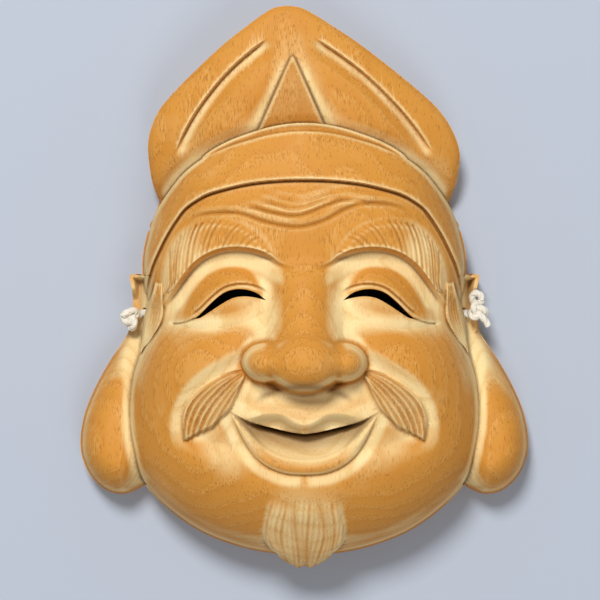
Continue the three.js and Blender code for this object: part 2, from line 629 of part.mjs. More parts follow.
// The outline's points, then rows of points, then loose ones. A point is left out where it would
// stand too near one before it, or crowd a step of the outline or of an earlier row: then the
// triangles keep every such step as an edge.
class Cloud {
  constructor(outline, cell) {
    this.points = [];
    this.cell = cell;
    this.grid = new Map();
    this.region = new Patch({ points: outline });
    this.steps = [];
    outline.forEach((p) => this.put(p));
    this.keepSteps([...outline, outline[0]]);
  }

  key(p, i = 0, j = 0) {
    return `${Math.floor(p.x / this.cell) + i},${Math.floor(p.y / this.cell) + j}`;
  }

  put(p) {
    this.grid.set(this.key(p), [...(this.grid.get(this.key(p)) ?? []), p]);
    this.points.push(p);
  }

  // the steps of a row in which a point left out is null
  keepSteps(row) {
    row.slice(1).forEach((q, i) => {
      const p = row[i];
      if (p && q) this.steps.push({ middle: p.clone().lerp(q, 0.5), radius: p.distanceTo(q) / 2 });
    });
  }

  clear(p, least) {
    for (let i = -1; i <= 1; i += 1) {
      for (let j = -1; j <= 1; j += 1) {
        const near = this.grid.get(this.key(p, i, j)) ?? [];
        if (near.some((q) => q.distanceTo(p) < least)) return false;
      }
    }
    return this.steps.every(({ middle, radius }) => middle.distanceTo(p) > radius * 1.01);
  }

  add(candidates, least) {
    return candidates.map((p) => {
      const fits = this.region.holds(p.x, p.y) && this.clear(p, least);
      if (fits) this.put(p);
      return fits ? p : null;
    });
  }

  addRows(rows, least) {
    rows.map((row) => this.add(row, least)).forEach((row) => this.keepSteps(row));
  }
}

// the places where triangles stray from the field by more than the tolerance
function straying(points, outline, height, tolerance) {
  const worst = [];
  const places = [[1 / 3, 1 / 3, 1 / 3], [0.6, 0.2, 0.2], [0.2, 0.6, 0.2], [0.2, 0.2, 0.6]];
  for (const corners of facesInside(points, outline)) {
    const [a, b, c] = corners.map((i) => {
      const place = i < outline.length ? justInside(points[i]) : points[i];
      return new THREE.Vector3(points[i].x, points[i].y, height(place.x, place.y));
    });
    const normal = b.clone().sub(a).cross(c.clone().sub(a)).normalize();
    let most = tolerance;
    let spot = null;
    for (const [i, j, k] of places) {
      const p = a.clone().multiplyScalar(i).addScaledVector(b, j).addScaledVector(c, k);
      const stray = Math.abs(height(p.x, p.y) - p.z) * Math.abs(normal.z);
      if (stray > most) {
        most = stray;
        spot = new THREE.Vector2(p.x, p.y);
      }
    }
    if (spot) worst.push(spot);
  }
  return worst;
}

function fieldSolid(outline, groups, loose, height, floor, { least, apart, tolerances }) {
  const cloud = new Cloud(outline, Math.max(least, apart));
  groups.forEach((rows) => cloud.addRows(rows, least));
  cloud.add(loose, apart);
  for (const tolerance of tolerances) {
    cloud.add(straying(cloud.points, outline, height, tolerance), apart);
  }
  const { points } = cloud;
  const faces = facesInside(points, outline);
  const top = points.map((p, i) => {
    const place = i < outline.length ? justInside(p) : p;
    return [p.x, p.y, height(place.x, place.y)];
  });
  const bottom = outline.map((p) => [p.x, p.y, floor]);
  const triangles = [...faces];
  outline.forEach((_, i) => {
    const j = (i + 1) % outline.length;
    triangles.push([j, i, top.length + i], [j, top.length + i, top.length + j]);
  });
  const flat = THREE.ShapeUtils.triangulateShape(outline, []);
  flat.forEach((face) => triangles.push([...face].reverse().map((i) => top.length + i)));
  const geometry = new THREE.BufferGeometry();
  geometry.setAttribute('position', new THREE.Float32BufferAttribute([...top, ...bottom].flat(), 3));
  geometry.setIndex(triangles.flat());
  return geometry;
}

// Booleans

function solid(geometry) {
  const bare = geometry.clone();
  bare.deleteAttribute('normal');
  bare.deleteAttribute('uv');
  const merged = mergeVertices(bare, 1e-4);
  return new wasm.Manifold(new wasm.Mesh({
    numProp: 3,
    vertProperties: new Float32Array(merged.attributes.position.array),
    triVerts: new Uint32Array(merged.index.array),
  }));
}

function geometryOf(manifold) {
  const mesh = manifold.getMesh();
  const geometry = new THREE.BufferGeometry();
  geometry.setAttribute('position', new THREE.BufferAttribute(mesh.vertProperties, 3));
  geometry.setIndex(new THREE.BufferAttribute(mesh.triVerts, 1));
  return geometry;
}

// Rows of points that the triangles of the front start from. They run along the carved lines, so
// that each cut, step and roll has its own corners.

function ladder(line, offsets, spacing, from = 0, to = 1) {
  const count = Math.max(2, Math.round(line.length * (to - from) / spacing));
  const rungs = Array.from({ length: count + 1 }, (_, i) => from + (to - from) * i / count);
  return offsets.map((offset) => rungs.map((share) => line.at(share, offset)));
}

const moved = (rows, move) => rows.map((row) => row.map((p) => new THREE.Vector2(...move(p))));
const withMirror = (rows) => [...rows, ...moved(rows, (p) => [-p.x, p.y])];
const leaning = (rows) => [1, -1].flatMap((sign) => moved(rows, (p) => [sign * p.x + crownLean(p.y), p.y]));

// rows that follow the bead, by how far they lie above it
function beadRows(offsets, spacing) {
  const count = Math.round(BAND_TOP.length / spacing);
  const shares = Array.from({ length: count - 1 }, (_, i) => (i + 1) / count);
  return offsets.map((offset) => shares.map((share) => BAND_TOP.at(
    share, beadRise(BAND_TOP.at(share).x) + offset)));
}

// points at the same shares of all the lines of a tuft
function hairRows({ rows }, patch, from, count) {
  const shares = Array.from({ length: count }, (_, i) => from + (1 - from) * i / (count - 1));
  return rows.map((line) => shares.map((share) => line.at(share)).filter(
    (p) => patch.holds(Math.abs(p.x), p.y)));
}

function crestRows() {
  const { x, half, foot, tip } = CREST;
  const corners = [[x - half, foot], [x, tip], [x + half, foot]];
  return [[0, 1], [1, 2]].flatMap(([i, j]) => ladder(new Line([corners[i], corners[j]], 1),
    [0, CREST.wall + 0.1], 5));
}

function scatter(spacing) {
  const points = [];
  for (let row = -Math.ceil(PEAK_Y / spacing); row * spacing * 0.87 < PEAK_Y; row += 1) {
    for (let column = -Math.ceil(LOBE_X / spacing); column * spacing < LOBE_X; column += 1) {
      points.push(new THREE.Vector2((column + (row % 2 ? 0.5 : 0)) * spacing, row * spacing * 0.87));
    }
  }
  return points;
}

const frontGroups = () => [
  ladder(BAND_LOW, [-1.8, -0.7, 0.7], 5.5, 0.02, 0.98),
  ladder(BAND_TOP, [0, 1], 6, 0.02, 0.98),
  beadRows([0, 0.8, 1.7], 6),
  leaning(ladder(CROWN_GROOVE, [GROOVE_WALL, 0, -GROOVE_SLOPE], 6)),
  crestRows(),
  withMirror(ladder(SLIT_UP, [0], 3.5)),
  withMirror(ladder(SLIT_LOW, [0], 3.5)),
  withMirror(ladder(LID_CREASE, [0, 0.9, -1.5], 3.5)),
  withMirror(ladder(LID_TAIL, [0, 0.9, -0.9], 3)),
  withMirror(ladder(LIP_EDGE, [0.1, -0.8], 3)),
  withMirror(ladder(MOUTH_LOW, [0, 2.2], 3)),
  withMirror(ladder(LOWER_LIP, [0, 0.8], 3.5)),
  withMirror(ladder(LIP_BOW, [0], 3)),
  withMirror(ladder(SOCKET_TOP, [0, -3], 3.5)),
  withMirror(ladder(BROW_TOP, [0], 3.5)),
  withMirror(ladder(MOUSTACHE_UP, [0, -2.2], 3)),
  withMirror(ladder(MOUSTACHE_LOW, [0, 1.8], 3)),
  withMirror(ladder(BEARD_SIDE, [-2.3, -0.6], 4, 0.25, 0.75)),
  withMirror(ladder(SIDEBURN_EDGE, [-1.8, 0.5], 4)),
  withMirror(ladder(EAR, [3, 1.5], 4)),
  hairRows(BEARD_HAIR, beardPatch, 0, 9),
  withMirror(hairRows(MOUSTACHE_HAIR, moustachePatch, 0.15, 14)),
  withMirror(hairRows(BROW_HAIR, browPatch, 0.05, 8)),
  withMirror(hairRows(SIDEBURN_HAIR, sideburnPatch, 0, 6)),
  withMirror(ladder(EYE_LOW, [0], 4)),
  ...WRINKLES.map(({ line, halfWidth }) => ladder(line, [0, halfWidth, -halfWidth, 3.2], 4, 0.05, 0.95))];

// The hollow behind the face, and the shallow scoop behind the crown

const HOLLOW_OUT = new Line([
  [0, 66], [25, 63], [48, 50], [62, 32], [69, 10], [70, -10], [74, -30], [80, -50], [82, -66], [81, -82],
  [76, -97], [66, -110], [50, -120], [28, -127], [0, -129]], 2);                                 // half
const HOLLOW_LIP = 16;         // width over which the hollow's sides round into its top
const SCOOP = { x: -4, y: 101, rx: 58, ry: 25, depth: 24 };
const BELOW = -2;              // the cutting solids start under the back

const closedHalf = (line) => [...line.points.map((p) => new THREE.Vector2(-p.x, p.y)),
  ...[...line.points].reverse().slice(1, -1)];

// It keeps off the mouth, the nostrils and the eye sockets, where the front is carved deepest.
function hollowHeight(x, y) {
  const top = domeHeight(headShare(x, y)) + swell(x, y) * 0.6 - WALL
    - 20 * mound(x, y, 0, -77, 38, 14) - 5 * mound(Math.abs(x), y, 16, -51, 10, 7)
    - 5 * mound(Math.abs(x), y, 20, -72.5, 8, 5) - 6 * mound(Math.abs(x), y, 41, -2, 34, 20);
  const inward = 1 - clamp(HOLLOW_OUT.near(Math.abs(x), y).distance / HOLLOW_LIP, 0, 1);
  return BELOW + 1 + (top - BELOW) * Math.sqrt(Math.max(1 - inward ** 2.4, 0));
}

function scoopHeight(x, y) {
  const share = Math.hypot((x - SCOOP.x) / SCOOP.rx, (y - SCOOP.y) / SCOOP.ry);
  return BELOW + 1 + (SCOOP.depth - BELOW) * Math.sqrt(Math.max(1 - share ** 2.4, 0));
}

function hollowSolid() {
  const outline = closedHalf(HOLLOW_OUT);
  const inset = [0.96, 0.86].flatMap((share) => outline.map((p) => new THREE.Vector2(
    p.x * share, HEAD_CENTRE_Y + (p.y - HEAD_CENTRE_Y) * share)));
  return fieldSolid(outline, [], [...inset, ...scatter(16)], hollowHeight, BELOW, BACK_MESH);
}

function scoopSolid() {
  const outline = new THREE.EllipseCurve(SCOOP.x, SCOOP.y, SCOOP.rx, SCOOP.ry).getPoints(32).slice(0, -1);
  const inset = [0.96, 0.8].flatMap((share) => outline.map((p) => new THREE.Vector2(
    SCOOP.x + (p.x - SCOOP.x) * share, SCOOP.y + (p.y - SCOOP.y) * share)));
  return fieldSolid(outline, [], [...inset, ...scatter(18)], scoopHeight, BELOW, BACK_MESH);
}

function slitCutter(sign) {
  const loop = [...slitPatch.loop].map((p) => new THREE.Vector2(sign * p.x, p.y));
  const geometry = new THREE.ExtrudeGeometry(new THREE.Shape(loop), { depth: 100, bevelEnabled: false });
  return geometry.translate(0, 0, 30);
}

// The cord: from the knot in the ear on the -X side, through its hole, along the table under the
// hollow and out through the other ear

const HOLE_FRONT = new THREE.Vector3(90.5, -14, 21);
const HOLE_BACK = new THREE.Vector3(62, -14, 9);

const CORD_ROUTE = [
  [-88, -14, 19.9], [-82, -14, 17.4], [-75, -14, 14.5], [-68, -13.9, 11.4], [-62.5, -11.8, 8],
  [-57, -7.5, 4.8], [-51, -1, 2.8], [-44, 7, 2.45], [-35, 14.5, 2.45], [-24, 18.5, 2.45], [-12, 18, 2.45],
  [0, 13.5, 2.45], [12, 7, 2.45], [24, 0.5, 2.45], [35, -5.5, 2.45], [45, -10, 2.5], [53, -12.6, 4.2],
  [59.5, -13.7, 7.4], [68, -14, 11.4], [75, -14, 14.5], [82, -14, 17.4], [88, -14, 19.9]];
const CORD_STEPS = 26;
const CORD_SIDES = 8;

function cylinderBetween(start, end, radius, sides) {
  const axis = end.clone().sub(start);
  const geometry = new THREE.CylinderGeometry(radius, radius, axis.length(), sides);
  const turn = new THREE.Quaternion().setFromUnitVectors(new THREE.Vector3(0, 1, 0), axis.normalize());
  return geometry.applyQuaternion(turn).translate(...start.clone().lerp(end, 0.5).toArray());
}

function holeCutter(sign) {
  const flip = new THREE.Vector3(sign, 1, 1);
  const start = HOLE_FRONT.clone().lerp(HOLE_BACK, -0.35).multiply(flip);
  return cylinderBetween(start, HOLE_BACK.clone().multiply(flip), HOLE_D / 2, 12);
}

function cordGeometry() {
  const route = CORD_ROUTE.map((p) => new THREE.Vector3(...p));
  const curve = new THREE.CatmullRomCurve3(route, false, 'centripetal');
  const round = new THREE.EllipseCurve(0, 0, CORD_D / 2, CORD_D / 2).getPoints(CORD_SIDES).slice(0, -1);
  return new THREE.ExtrudeGeometry(new THREE.Shape(round), { steps: CORD_STEPS, extrudePath: curve });
}

// The knots: lumps of cord pressed together in the hollow of each ear

function lump(x, y, z, rx, ry, rz) {
  return solid(new THREE.SphereGeometry(1, 10, 7).scale(rx, ry, rz).translate(x, y, z));
}

function tail(start, end, radius) {
  return solid(cylinderBetween(new THREE.Vector3(...start), new THREE.Vector3(...end), radius, 8));
}

function knotGeometry(parts) {
  return geometryOf(wasm.Manifold.union(parts));
}

const leftKnot = () => knotGeometry([
  lump(-93.4, -17, 24.5, 4.6, 7.2, 5.2), lump(-94.6, -14.6, 27, 3.6, 4.4, 3.4)]);

const rightKnot = () => knotGeometry([
  lump(93.2, -13.2, 24.2, 5.1, 5.6, 5.4), lump(92.6, -6.6, 24.6, 4.2, 4.6, 4.6),
  tail([94.5, -15, 25], [99.2, -22.4, 25.5], 1.9)]);

function maskGeometry() {
  const outline = outlineOfMask(0.3, 7);
  const loose = [...[0.99, 0.965].flatMap((share) => outline.map((p) => toCentre(p, share))), ...scatter(9)];
  const front = fieldSolid(outline, frontGroups(), loose, frontHeight, 0, FRONT_MESH);
  let mask = solid(front).subtract(solid(hollowSolid())).subtract(solid(scoopSolid()));
  for (const sign of [1, -1]) {
    mask = mask.subtract(solid(slitCutter(sign))).subtract(solid(holeCutter(sign)));
  }
  return geometryOf(mask);
}

// Materials and the group

const material = (name, color, roughness) => new THREE.MeshStandardMaterial({
  name, color, roughness, metalness: 0 });
const WOOD = material('wood', 0xc98a45, 0.55);
const COTTON = material('cotton', 0xf1ead9, 0.9);

const group = new THREE.Group();

function add(name, geometry, material) {
  const mesh = new THREE.Mesh(geometry, material);
  mesh.name = name;
  group.add(mesh);
}

add('mask', maskGeometry(), WOOD);
add('cord', cordGeometry(), COTTON);
add('knot_left', leftKnot(), COTTON);
add('knot_right', rightKnot(), COTTON);

export default group;
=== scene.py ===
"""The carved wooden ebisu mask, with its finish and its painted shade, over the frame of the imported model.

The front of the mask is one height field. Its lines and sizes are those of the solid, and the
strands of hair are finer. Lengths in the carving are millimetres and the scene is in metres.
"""
import math

import bpy
import numpy as np
from bpy.props import FloatProperty, FloatVectorProperty, IntProperty, PointerProperty
from mathutils import Matrix, Vector


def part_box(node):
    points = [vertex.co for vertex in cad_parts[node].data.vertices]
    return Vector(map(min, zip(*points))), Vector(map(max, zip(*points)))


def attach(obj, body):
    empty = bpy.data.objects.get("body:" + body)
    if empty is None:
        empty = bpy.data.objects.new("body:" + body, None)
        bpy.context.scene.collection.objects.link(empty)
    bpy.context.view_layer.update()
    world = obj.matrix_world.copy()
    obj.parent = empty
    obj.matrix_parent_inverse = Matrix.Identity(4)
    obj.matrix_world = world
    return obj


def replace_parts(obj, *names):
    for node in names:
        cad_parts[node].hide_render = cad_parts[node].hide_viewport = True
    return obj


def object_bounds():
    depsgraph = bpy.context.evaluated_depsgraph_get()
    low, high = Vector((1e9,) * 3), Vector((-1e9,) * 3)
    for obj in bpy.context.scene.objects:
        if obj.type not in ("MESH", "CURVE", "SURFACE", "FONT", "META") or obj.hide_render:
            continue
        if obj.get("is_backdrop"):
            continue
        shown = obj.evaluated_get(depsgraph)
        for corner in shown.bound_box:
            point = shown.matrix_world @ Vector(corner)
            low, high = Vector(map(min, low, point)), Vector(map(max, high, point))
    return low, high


bl_info = {
    "name": "Carved Ebisu Mask",
    "version": (1, 0, 0),
    "blender": (4, 5, 0),
    "location": "View3D > Sidebar > Mask",
    "description": "Builds a carved wooden mask with its cotton cord, floor, lights and camera",
    "category": "Add Mesh",
}

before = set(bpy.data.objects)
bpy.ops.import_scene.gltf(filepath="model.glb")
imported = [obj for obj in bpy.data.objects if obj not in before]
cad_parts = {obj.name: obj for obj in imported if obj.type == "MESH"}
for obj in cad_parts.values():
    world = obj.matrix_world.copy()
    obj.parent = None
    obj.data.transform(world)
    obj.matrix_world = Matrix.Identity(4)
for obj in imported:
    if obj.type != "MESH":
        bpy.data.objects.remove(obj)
CAD_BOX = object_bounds()
BODY = "root"
MM = 0.001
MASK_LOW, MASK_HIGH = (np.array(corner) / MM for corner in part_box("mask"))

# The camera looks straight down on the mask from this height over the point given
VIEW_POINT = (-2.35, -6.75)
VIEW_HEIGHT = 1440.0
VIEW_WIDTH = 318.0             # width of the picture at FACE_HEIGHT
FACE_HEIGHT = 40.0

# The cord's route: from the left ear's hole, along the table and out of the right ear's hole
CORD_DIAMETER = 4.5
CORD_ROUTE = [
    (-88, -14, 19.9), (-82, -14, 17.4), (-75, -14, 14.5), (-68, -13.9, 11.4), (-62.5, -11.8, 8),
    (-57, -7.5, 4.8), (-51, -1, 2.8), (-44, 7, 2.45), (-35, 14.5, 2.45), (-24, 18.5, 2.45),
    (-12, 18, 2.45), (0, 13.5, 2.45), (12, 7, 2.45), (24, 0.5, 2.45), (35, -5.5, 2.45),
    (45, -10, 2.5), (53, -12.6, 4.2), (59.5, -13.7, 7.4), (68, -14, 11.4), (75, -14, 14.5),
    (82, -14, 17.4), (88, -14, 19.9)]


# Small mathematics on arrays


def ramp(low, high, value):
    t = np.clip((value - low) / (high - low), 0, 1)
    return t * t * (3 - 2 * t)


def soft_max(a, b, width):
    h = np.clip(0.5 + 0.5 * (a - b) / width, 0, 1)
    return b + (a - b) * h + width * h * (1 - h)


def vee(distance, half_width):
    return np.clip(1 - np.abs(distance) / half_width, 0, 1)


def bell(distance, width):
    return np.exp(-((distance / width) ** 2))


def mound(x, y, cx, cy, rx, ry, tilt_degrees=0):
    tilt = math.radians(tilt_degrees)
    u = (x - cx) * math.cos(tilt) + (y - cy) * math.sin(tilt)
    v = (y - cy) * math.cos(tilt) - (x - cx) * math.sin(tilt)
    return bell(u, rx) * bell(v, ry)


def ball(x, y, cx, cy, rx, ry, top, deep):
    """The upper half of an ellipsoid, falling steeply outside it."""
    r = np.hypot((x - cx) / rx, (y - cy) / ry)
    return top - deep * (1 - np.sqrt(np.clip(1 - r * r, 0.04, 1))) - deep * 4 * np.maximum(r - 0.98, 0)


def through(position, knots):
    """A smooth curve through (position, value) knots in rising order, level outside them."""
    places, values = np.array(knots, float).T
    slopes = np.zeros(len(places))
    slopes[1:-1] = (values[2:] - values[:-2]) / (places[2:] - places[:-2])
    p = np.clip(position, places[0], places[-1])
    i = np.clip(np.searchsorted(places, p, side="right") - 1, 0, len(places) - 2)
    h = places[i + 1] - places[i]
    u = (p - places[i]) / h
    return ((2 * u ** 3 - 3 * u * u + 1) * values[i] + (u ** 3 - 2 * u * u + u) * h * slopes[i]
            + (3 * u * u - 2 * u ** 3) * values[i + 1] + (u ** 3 - u * u) * h * slopes[i + 1])


FAR = 1e3


class Line:
    """A smooth line through a few points, kept as short straight steps."""

    def __init__(self, points, steps=5):
        p = np.array(points, float)
        out = []
        for i in range(len(p) - 1):
            before, a, b, after = p[max(i - 1, 0)], p[i], p[i + 1], p[min(i + 2, len(p) - 1)]
            leave, arrive = (b - before) / 2, (after - a) / 2
            for t in np.arange(steps) / steps:
                out.append((2 * a - 2 * b + leave + arrive) * t ** 3
                           + (-3 * a + 3 * b - 2 * leave - arrive) * t * t + leave * t + a)
        self.points = np.array([*out, p[-1]])
        self.steps = np.diff(self.points, axis=0)
        lengths = np.hypot(*self.steps.T)
        self.reached = np.concatenate([[0], np.cumsum(lengths)])
        self.length = self.reached[-1]

    def near(self, x, y, reach=FAR):
        """Distance, share of the length, and distance signed + on the line's left, up to a reach."""
        low, high = self.points.min(0) - reach, self.points.max(0) + reach
        close = (x > low[0]) & (x < high[0]) & (y > low[1]) & (y < high[1])
        px, py = x[close], y[close]
        best = np.full(px.shape, FAR * FAR)
        share = np.zeros(px.shape)
        sign = np.ones(px.shape)
        for i, ((ax, ay), (dx, dy)) in enumerate(zip(self.points[:-1], self.steps)):
            square = dx * dx + dy * dy
            t = np.clip(((px - ax) * dx + (py - ay) * dy) / square, 0, 1)
            ex, ey = px - ax - t * dx, py - ay - t * dy
            away = ex * ex + ey * ey
            better = away < best
            best[better] = away[better]
            share[better] = (self.reached[i] + t[better] * math.sqrt(square)) / self.length
            sign[better] = np.where(dx * ey[better] - dy * ex[better] < 0, -1, 1)
        distances, shares, sides = (np.full(x.shape, fill) for fill in (FAR, 0.0, FAR))
        distances[close] = np.sqrt(best)
        shares[close] = share
        sides[close] = distances[close] * sign
        return distances, shares, sides

    def at(self, share):
        goal = np.clip(share, 0, 1) * self.length
        return np.array([np.interp(goal, self.reached, self.points[:, k]) for k in (0, 1)])


class Patch:
    """A closed region between two lines that run the same way."""

    def __init__(self, first, second=None):
        parts = [first.points] if second is None else [first.points, second.points[::-1]]
        self.loop = np.vstack(parts)

    def holds(self, x, y):
        low, high = self.loop.min(0), self.loop.max(0)
        close = (x >= low[0]) & (x <= high[0]) & (y >= low[1]) & (y <= high[1])
        px, py = x[close], y[close]
        inside = np.zeros(px.shape, bool)
        for (ax, ay), (bx, by) in zip(np.roll(self.loop, 1, axis=0), self.loop):
            if ay != by:
                inside ^= ((ay > py) != (by > py)) & (px < (bx - ax) * (py - ay) / (by - ay) + ax)
        result = np.zeros(x.shape, bool)
        result[close] = inside
        return result


def within(patch, x, y, height):
    """A height that only counts inside a patch."""
    inside = patch.holds(x, y)
    z = np.zeros(x.shape)
    z[inside] = height(x[inside], y[inside])
    return z


def mirrored(half):
    return [*((-x, y) for x, y in half), *reversed(half)]


# Lines of the carving. Those marked half are drawn for x > 0 and mirrored.

PEAK_Y = 149.5
LOBE_X = 120.9
RIM_Z = 6
DOME = 77
HEAD_CENTRE_Y = -30

HEAD_OUT = Line([
    (0, 118), (40, 106), (66, 80), (79, 46), (85.5, 24), (87, 12), (86, 0), (83.5, -12), (83.5, -22),
    (88.5, -34), (94, -50), (96.3, -66), (95.8, -80), (92, -95), (86, -105.5), (78, -115),
    (65.5, -125.3), (51.5, -133.5), (33, -140), (15, -143.3), (0, -144.3)], 6)                 # half
BAND_LOW = Line(mirrored([
    (84.5, -3), (81, 9), (77, 18), (72, 27.5), (66, 36.5), (61, 42), (52, 47.3), (43, 50.2),
    (28, 53.4), (10, 55)]), 4)
BAND_TOP = Line(mirrored([
    (82, 33), (77, 42.5), (70, 51.5), (63, 59.3), (53, 66.6), (41, 72), (30, 75.5), (18, 78.5), (6, 80)]), 4)
BEAD_RISE, BEAD_END = 4.1, 54  # the bead parts from the band's edge by this much in the middle

CROWN_LEAN = -9
CROWN_LEAN_FROM = 70
CROWN_OUT = Line([
    (0, PEAK_Y), (7, 148.4), (14, 144.7), (23, 138.6), (35.5, 129.8), (52, 116.3), (66, 104), (75.5, 94),
    (81.2, 83.2), (83.6, 73), (82.8, 61.5), (80.5, 52), (75, 42), (60, 30), (0, 25)])          # half
CROWN_GROOVE = Line([
    (11.4, 132), (22, 125), (33.5, 115.8), (43.5, 106), (53.5, 94.5), (61, 84), (66, 75.5), (69, 69.5)])
GROOVE_SLOPE = 9.5
GROOVE_WALL = 0.9
CREST_X, CREST_FOOT, CREST_TIP, CREST_HALF, CREST_WALL = -6.3, 85, 122, 16.3, 1.2

BROW_TOP = Line([
    (13, 12.5), (17, 18), (23, 26), (30, 31.3), (39, 34.3), (48, 34.8), (57, 32.6), (65, 27),
    (71, 18.5), (74, 8), (74, -4)])                                                            # half
BROW_LOW = Line([
    (13, 12.5), (17.5, 16.3), (25, 19.3), (33.5, 20.6), (43, 20), (51.3, 17), (58, 12.2),
    (63.5, 5.8), (68.5, -1), (74, -4)])                                                        # half
SOCKET_TOP = Line([
    (0, 9.5), (7, 10.3), (13, 12.8), (17.5, 16.3), (25, 19.3), (33.5, 20.6), (43, 20), (51.3, 17),
    (58, 12.2), (63.5, 5.8), (68.5, -1), (74, -8)])                                            # half
SLIT_UP = Line([
    (19.8, -7), (24.5, -3.2), (30, -1.4), (36, -1.2), (42, -3.2), (48, -8), (54, -14), (57.5, -16.6)])
SLIT_LOW = Line([
    (19.8, -7), (25, -5.6), (31, -4.9), (37, -5.8), (43, -9), (49, -12.9), (54, -16), (57.5, -16.6)])
LID_TAIL = Line([(57.5, -16.6), (61, -18), (65, -19), (70, -19.3)])
LID_CREASE = Line([
    (18.5, -4.2), (22, -0.8), (28, 1.2), (35, 1.4), (42, -0.6), (48.5, -5.6), (55, -11.8), (61.5, -15.9)])
EYE_UP = Line([
    (13, -7), (16, 0), (23, 8), (33, 12.5), (44, 11.5), (54, 5), (62, -4), (68, -12), (72.5, -19.6)])
EYE_LOW = Line([
    (13, -7), (17.5, -10.5), (25, -15.5), (36, -19.8), (48, -21.5), (60, -21), (72.5, -19.6)])

MOUSTACHE_UP = Line([
    (31, -42.5), (37, -43), (47, -47), (55.8, -53.2), (62.2, -60.8), (64.6, -70), (63.4, -81.5)])
MOUSTACHE_LOW = Line([
    (31, -42.5), (29.5, -45.5), (31.5, -50.5), (35.2, -57.8), (39, -64.3), (47.4, -72.6), (54, -76),
    (63.4, -81.5)])
MOUSTACHE_IN = Line([
    (28, -44), (30.5, -49.5), (35.2, -57.8), (39.5, -66), (45, -76), (52, -88)])
SMILE_FOLD = Line([
    (33, -28), (44, -35), (56, -43), (66, -54), (71.5, -68), (70.5, -83), (61, -94), (46, -101),
    (28, -107), (0, -110)])

LIP_BOW = Line([
    (0, -71.2), (5, -69.4), (10.5, -66), (15, -65), (21, -65.4), (28, -67.3), (33, -66.6)])
LIP_EDGE = Line([
    (0, -75.9), (7, -75), (14.5, -73.4), (21, -71.8), (28, -69.5), (34, -66.9), (39, -64)])
MOUTH_LOW = Line([
    (0, -90.5), (10, -89.3), (18, -86), (25, -80.5), (30.5, -74), (35, -68.6), (39, -64)])
LOWER_LIP = Line([
    (0, -97.4), (10, -96.6), (19, -93.3), (26.5, -87.5), (31.5, -80), (35.5, -72), (39, -64)])

BEARD_SIDE = Line([
    (0, -104), (12, -106), (18.5, -111), (20, -117), (21.8, -125), (21.6, -133), (18.5, -138.5),
    (14.6, -142), (9.8, -145.8), (5, -148.6), (2.5, -PEAK_Y), (0, -147.8)])
LOBE = Line([
    (84, -8), (93, -14), (95.6, -25), (105.3, -40), (113, -54), (118.6, -68), (LOBE_X, -82),
    (119.6, -92.5), (115, -102), (107.5, -109), (99, -111.5), (91.5, -109.8), (85, -105.5),
    (78, -95), (74, -80), (74, -50), (78, -20), (84, -8)])
EAR = Line([
    (80, 7), (86, 7), (93.5, 6.6), (92.6, 0), (92.4, -8), (93, -16), (92.5, -24), (80, -26), (80, 7)], 3)

CROWN_PATCH = Patch(CROWN_OUT)
BROW_PATCH = Patch(BROW_TOP, BROW_LOW)
EYE_PATCH = Patch(EYE_UP, EYE_LOW)
MOUSTACHE_PATCH = Patch(MOUSTACHE_UP, MOUSTACHE_LOW)
MOUTH_PATCH = Patch(LIP_EDGE, MOUTH_LOW)
LOWER_LIP_PATCH = Patch(MOUTH_LOW, LOWER_LIP)
BEARD_PATCH = Patch(BEARD_SIDE)
LOBE_PATCH = Patch(LOBE)
EAR_PATCH = Patch(EAR)

# V-tool cuts: each is a line with a half width and a depth

WRINKLES = [
    (Line([(-20, 46.8), (-10, 45.4), (-3, 44), (3, 44.8), (11, 47.6), (20, 50)]), 1.1, 0.7),
    (Line([(-28, 45), (-17, 43), (-7.5, 40.4), (-0.5, 41), (8, 44), (18, 47.2)]), 1.5, 1.1),
    (Line([(-38, 40.3), (-27, 41), (-17, 38.4), (-6, 36.6), (2.5, 38.3), (12.5, 42.5), (22, 45),
           (38, 43)]), 1.6, 1.3),
    (Line([(-70, 22), (-64.5, 31), (-58, 36.2), (-48, 38.2), (-34, 38), (-22, 34), (-11, 31.4),
           (-1.5, 30.8), (10, 34), (21, 40), (32, 43.2), (46, 42.4), (58, 37.5), (66, 29.5)]), 1.7, 1.4)]


def between(first, second, alongs, acrosses):
    """A line that runs along two others and crosses from the first to the second."""
    places = [first.at(along) * (1 - across) + second.at(along) * across
              for along, across in zip(alongs, acrosses)]
    return Line(places, 3)


def brow_hair(share):
    steps = np.array([0.02, 0.25, 0.5, 0.75, 1])
    start = 0.03 + 0.75 * share
    end = through(start, [(0.03, 0.1), (0.2, 0.32), (0.34, 0.48), (0.49, 0.67), (0.64, 0.9), (0.78, 1)])
    return between(BROW_TOP, BROW_LOW, start + (end - start) * steps, steps)


def moustache_hair(share):
    steps = np.array([0.03, 0.2, 0.4, 0.6, 0.8, 1])
    return between(MOUSTACHE_UP, MOUSTACHE_IN, steps, np.full(6, share))


def beard_half_width(y):
    return through(y, [(-150, 13), (-142, 17), (-133, 21), (-125, 21.5), (-108, 17.5)])


def beard_hair(share):
    rows = np.array([-109, -117, -125, -133, -141, -149.0])
    wave = 0.9 * np.sin(rows / 8 + 16 * share)
    return Line(np.column_stack([(2 * share - 1) * beard_half_width(rows) + wave, rows]), 3)


def sideburn_middle(y):
    return through(y, [(-35, 87), (-27.5, 83.6), (-17, 79.5), (-7, 77.7), (4.5, 76.4)])


def sideburn_half_width(y):
    return through(y, [(-35, 0.6), (-27.5, 3.2), (-17, 5.5), (-7, 4.2), (4.5, 2.5)])


def sideburn_hair(share):
    rows = np.array([4, -6, -15, -24, -33.0])
    columns = sideburn_middle(rows) + (2 * share - 1) * sideburn_half_width(rows)
    return Line(np.column_stack([columns, rows]), 3)


def combed(hair, strands, half_width, depth, strength=lambda share: 1):
    """Cuts between strands, each as deep as its own strength lets it be."""
    return [(hair(k / strands), half_width, depth * strength(k / strands)) for k in range(1, strands)]


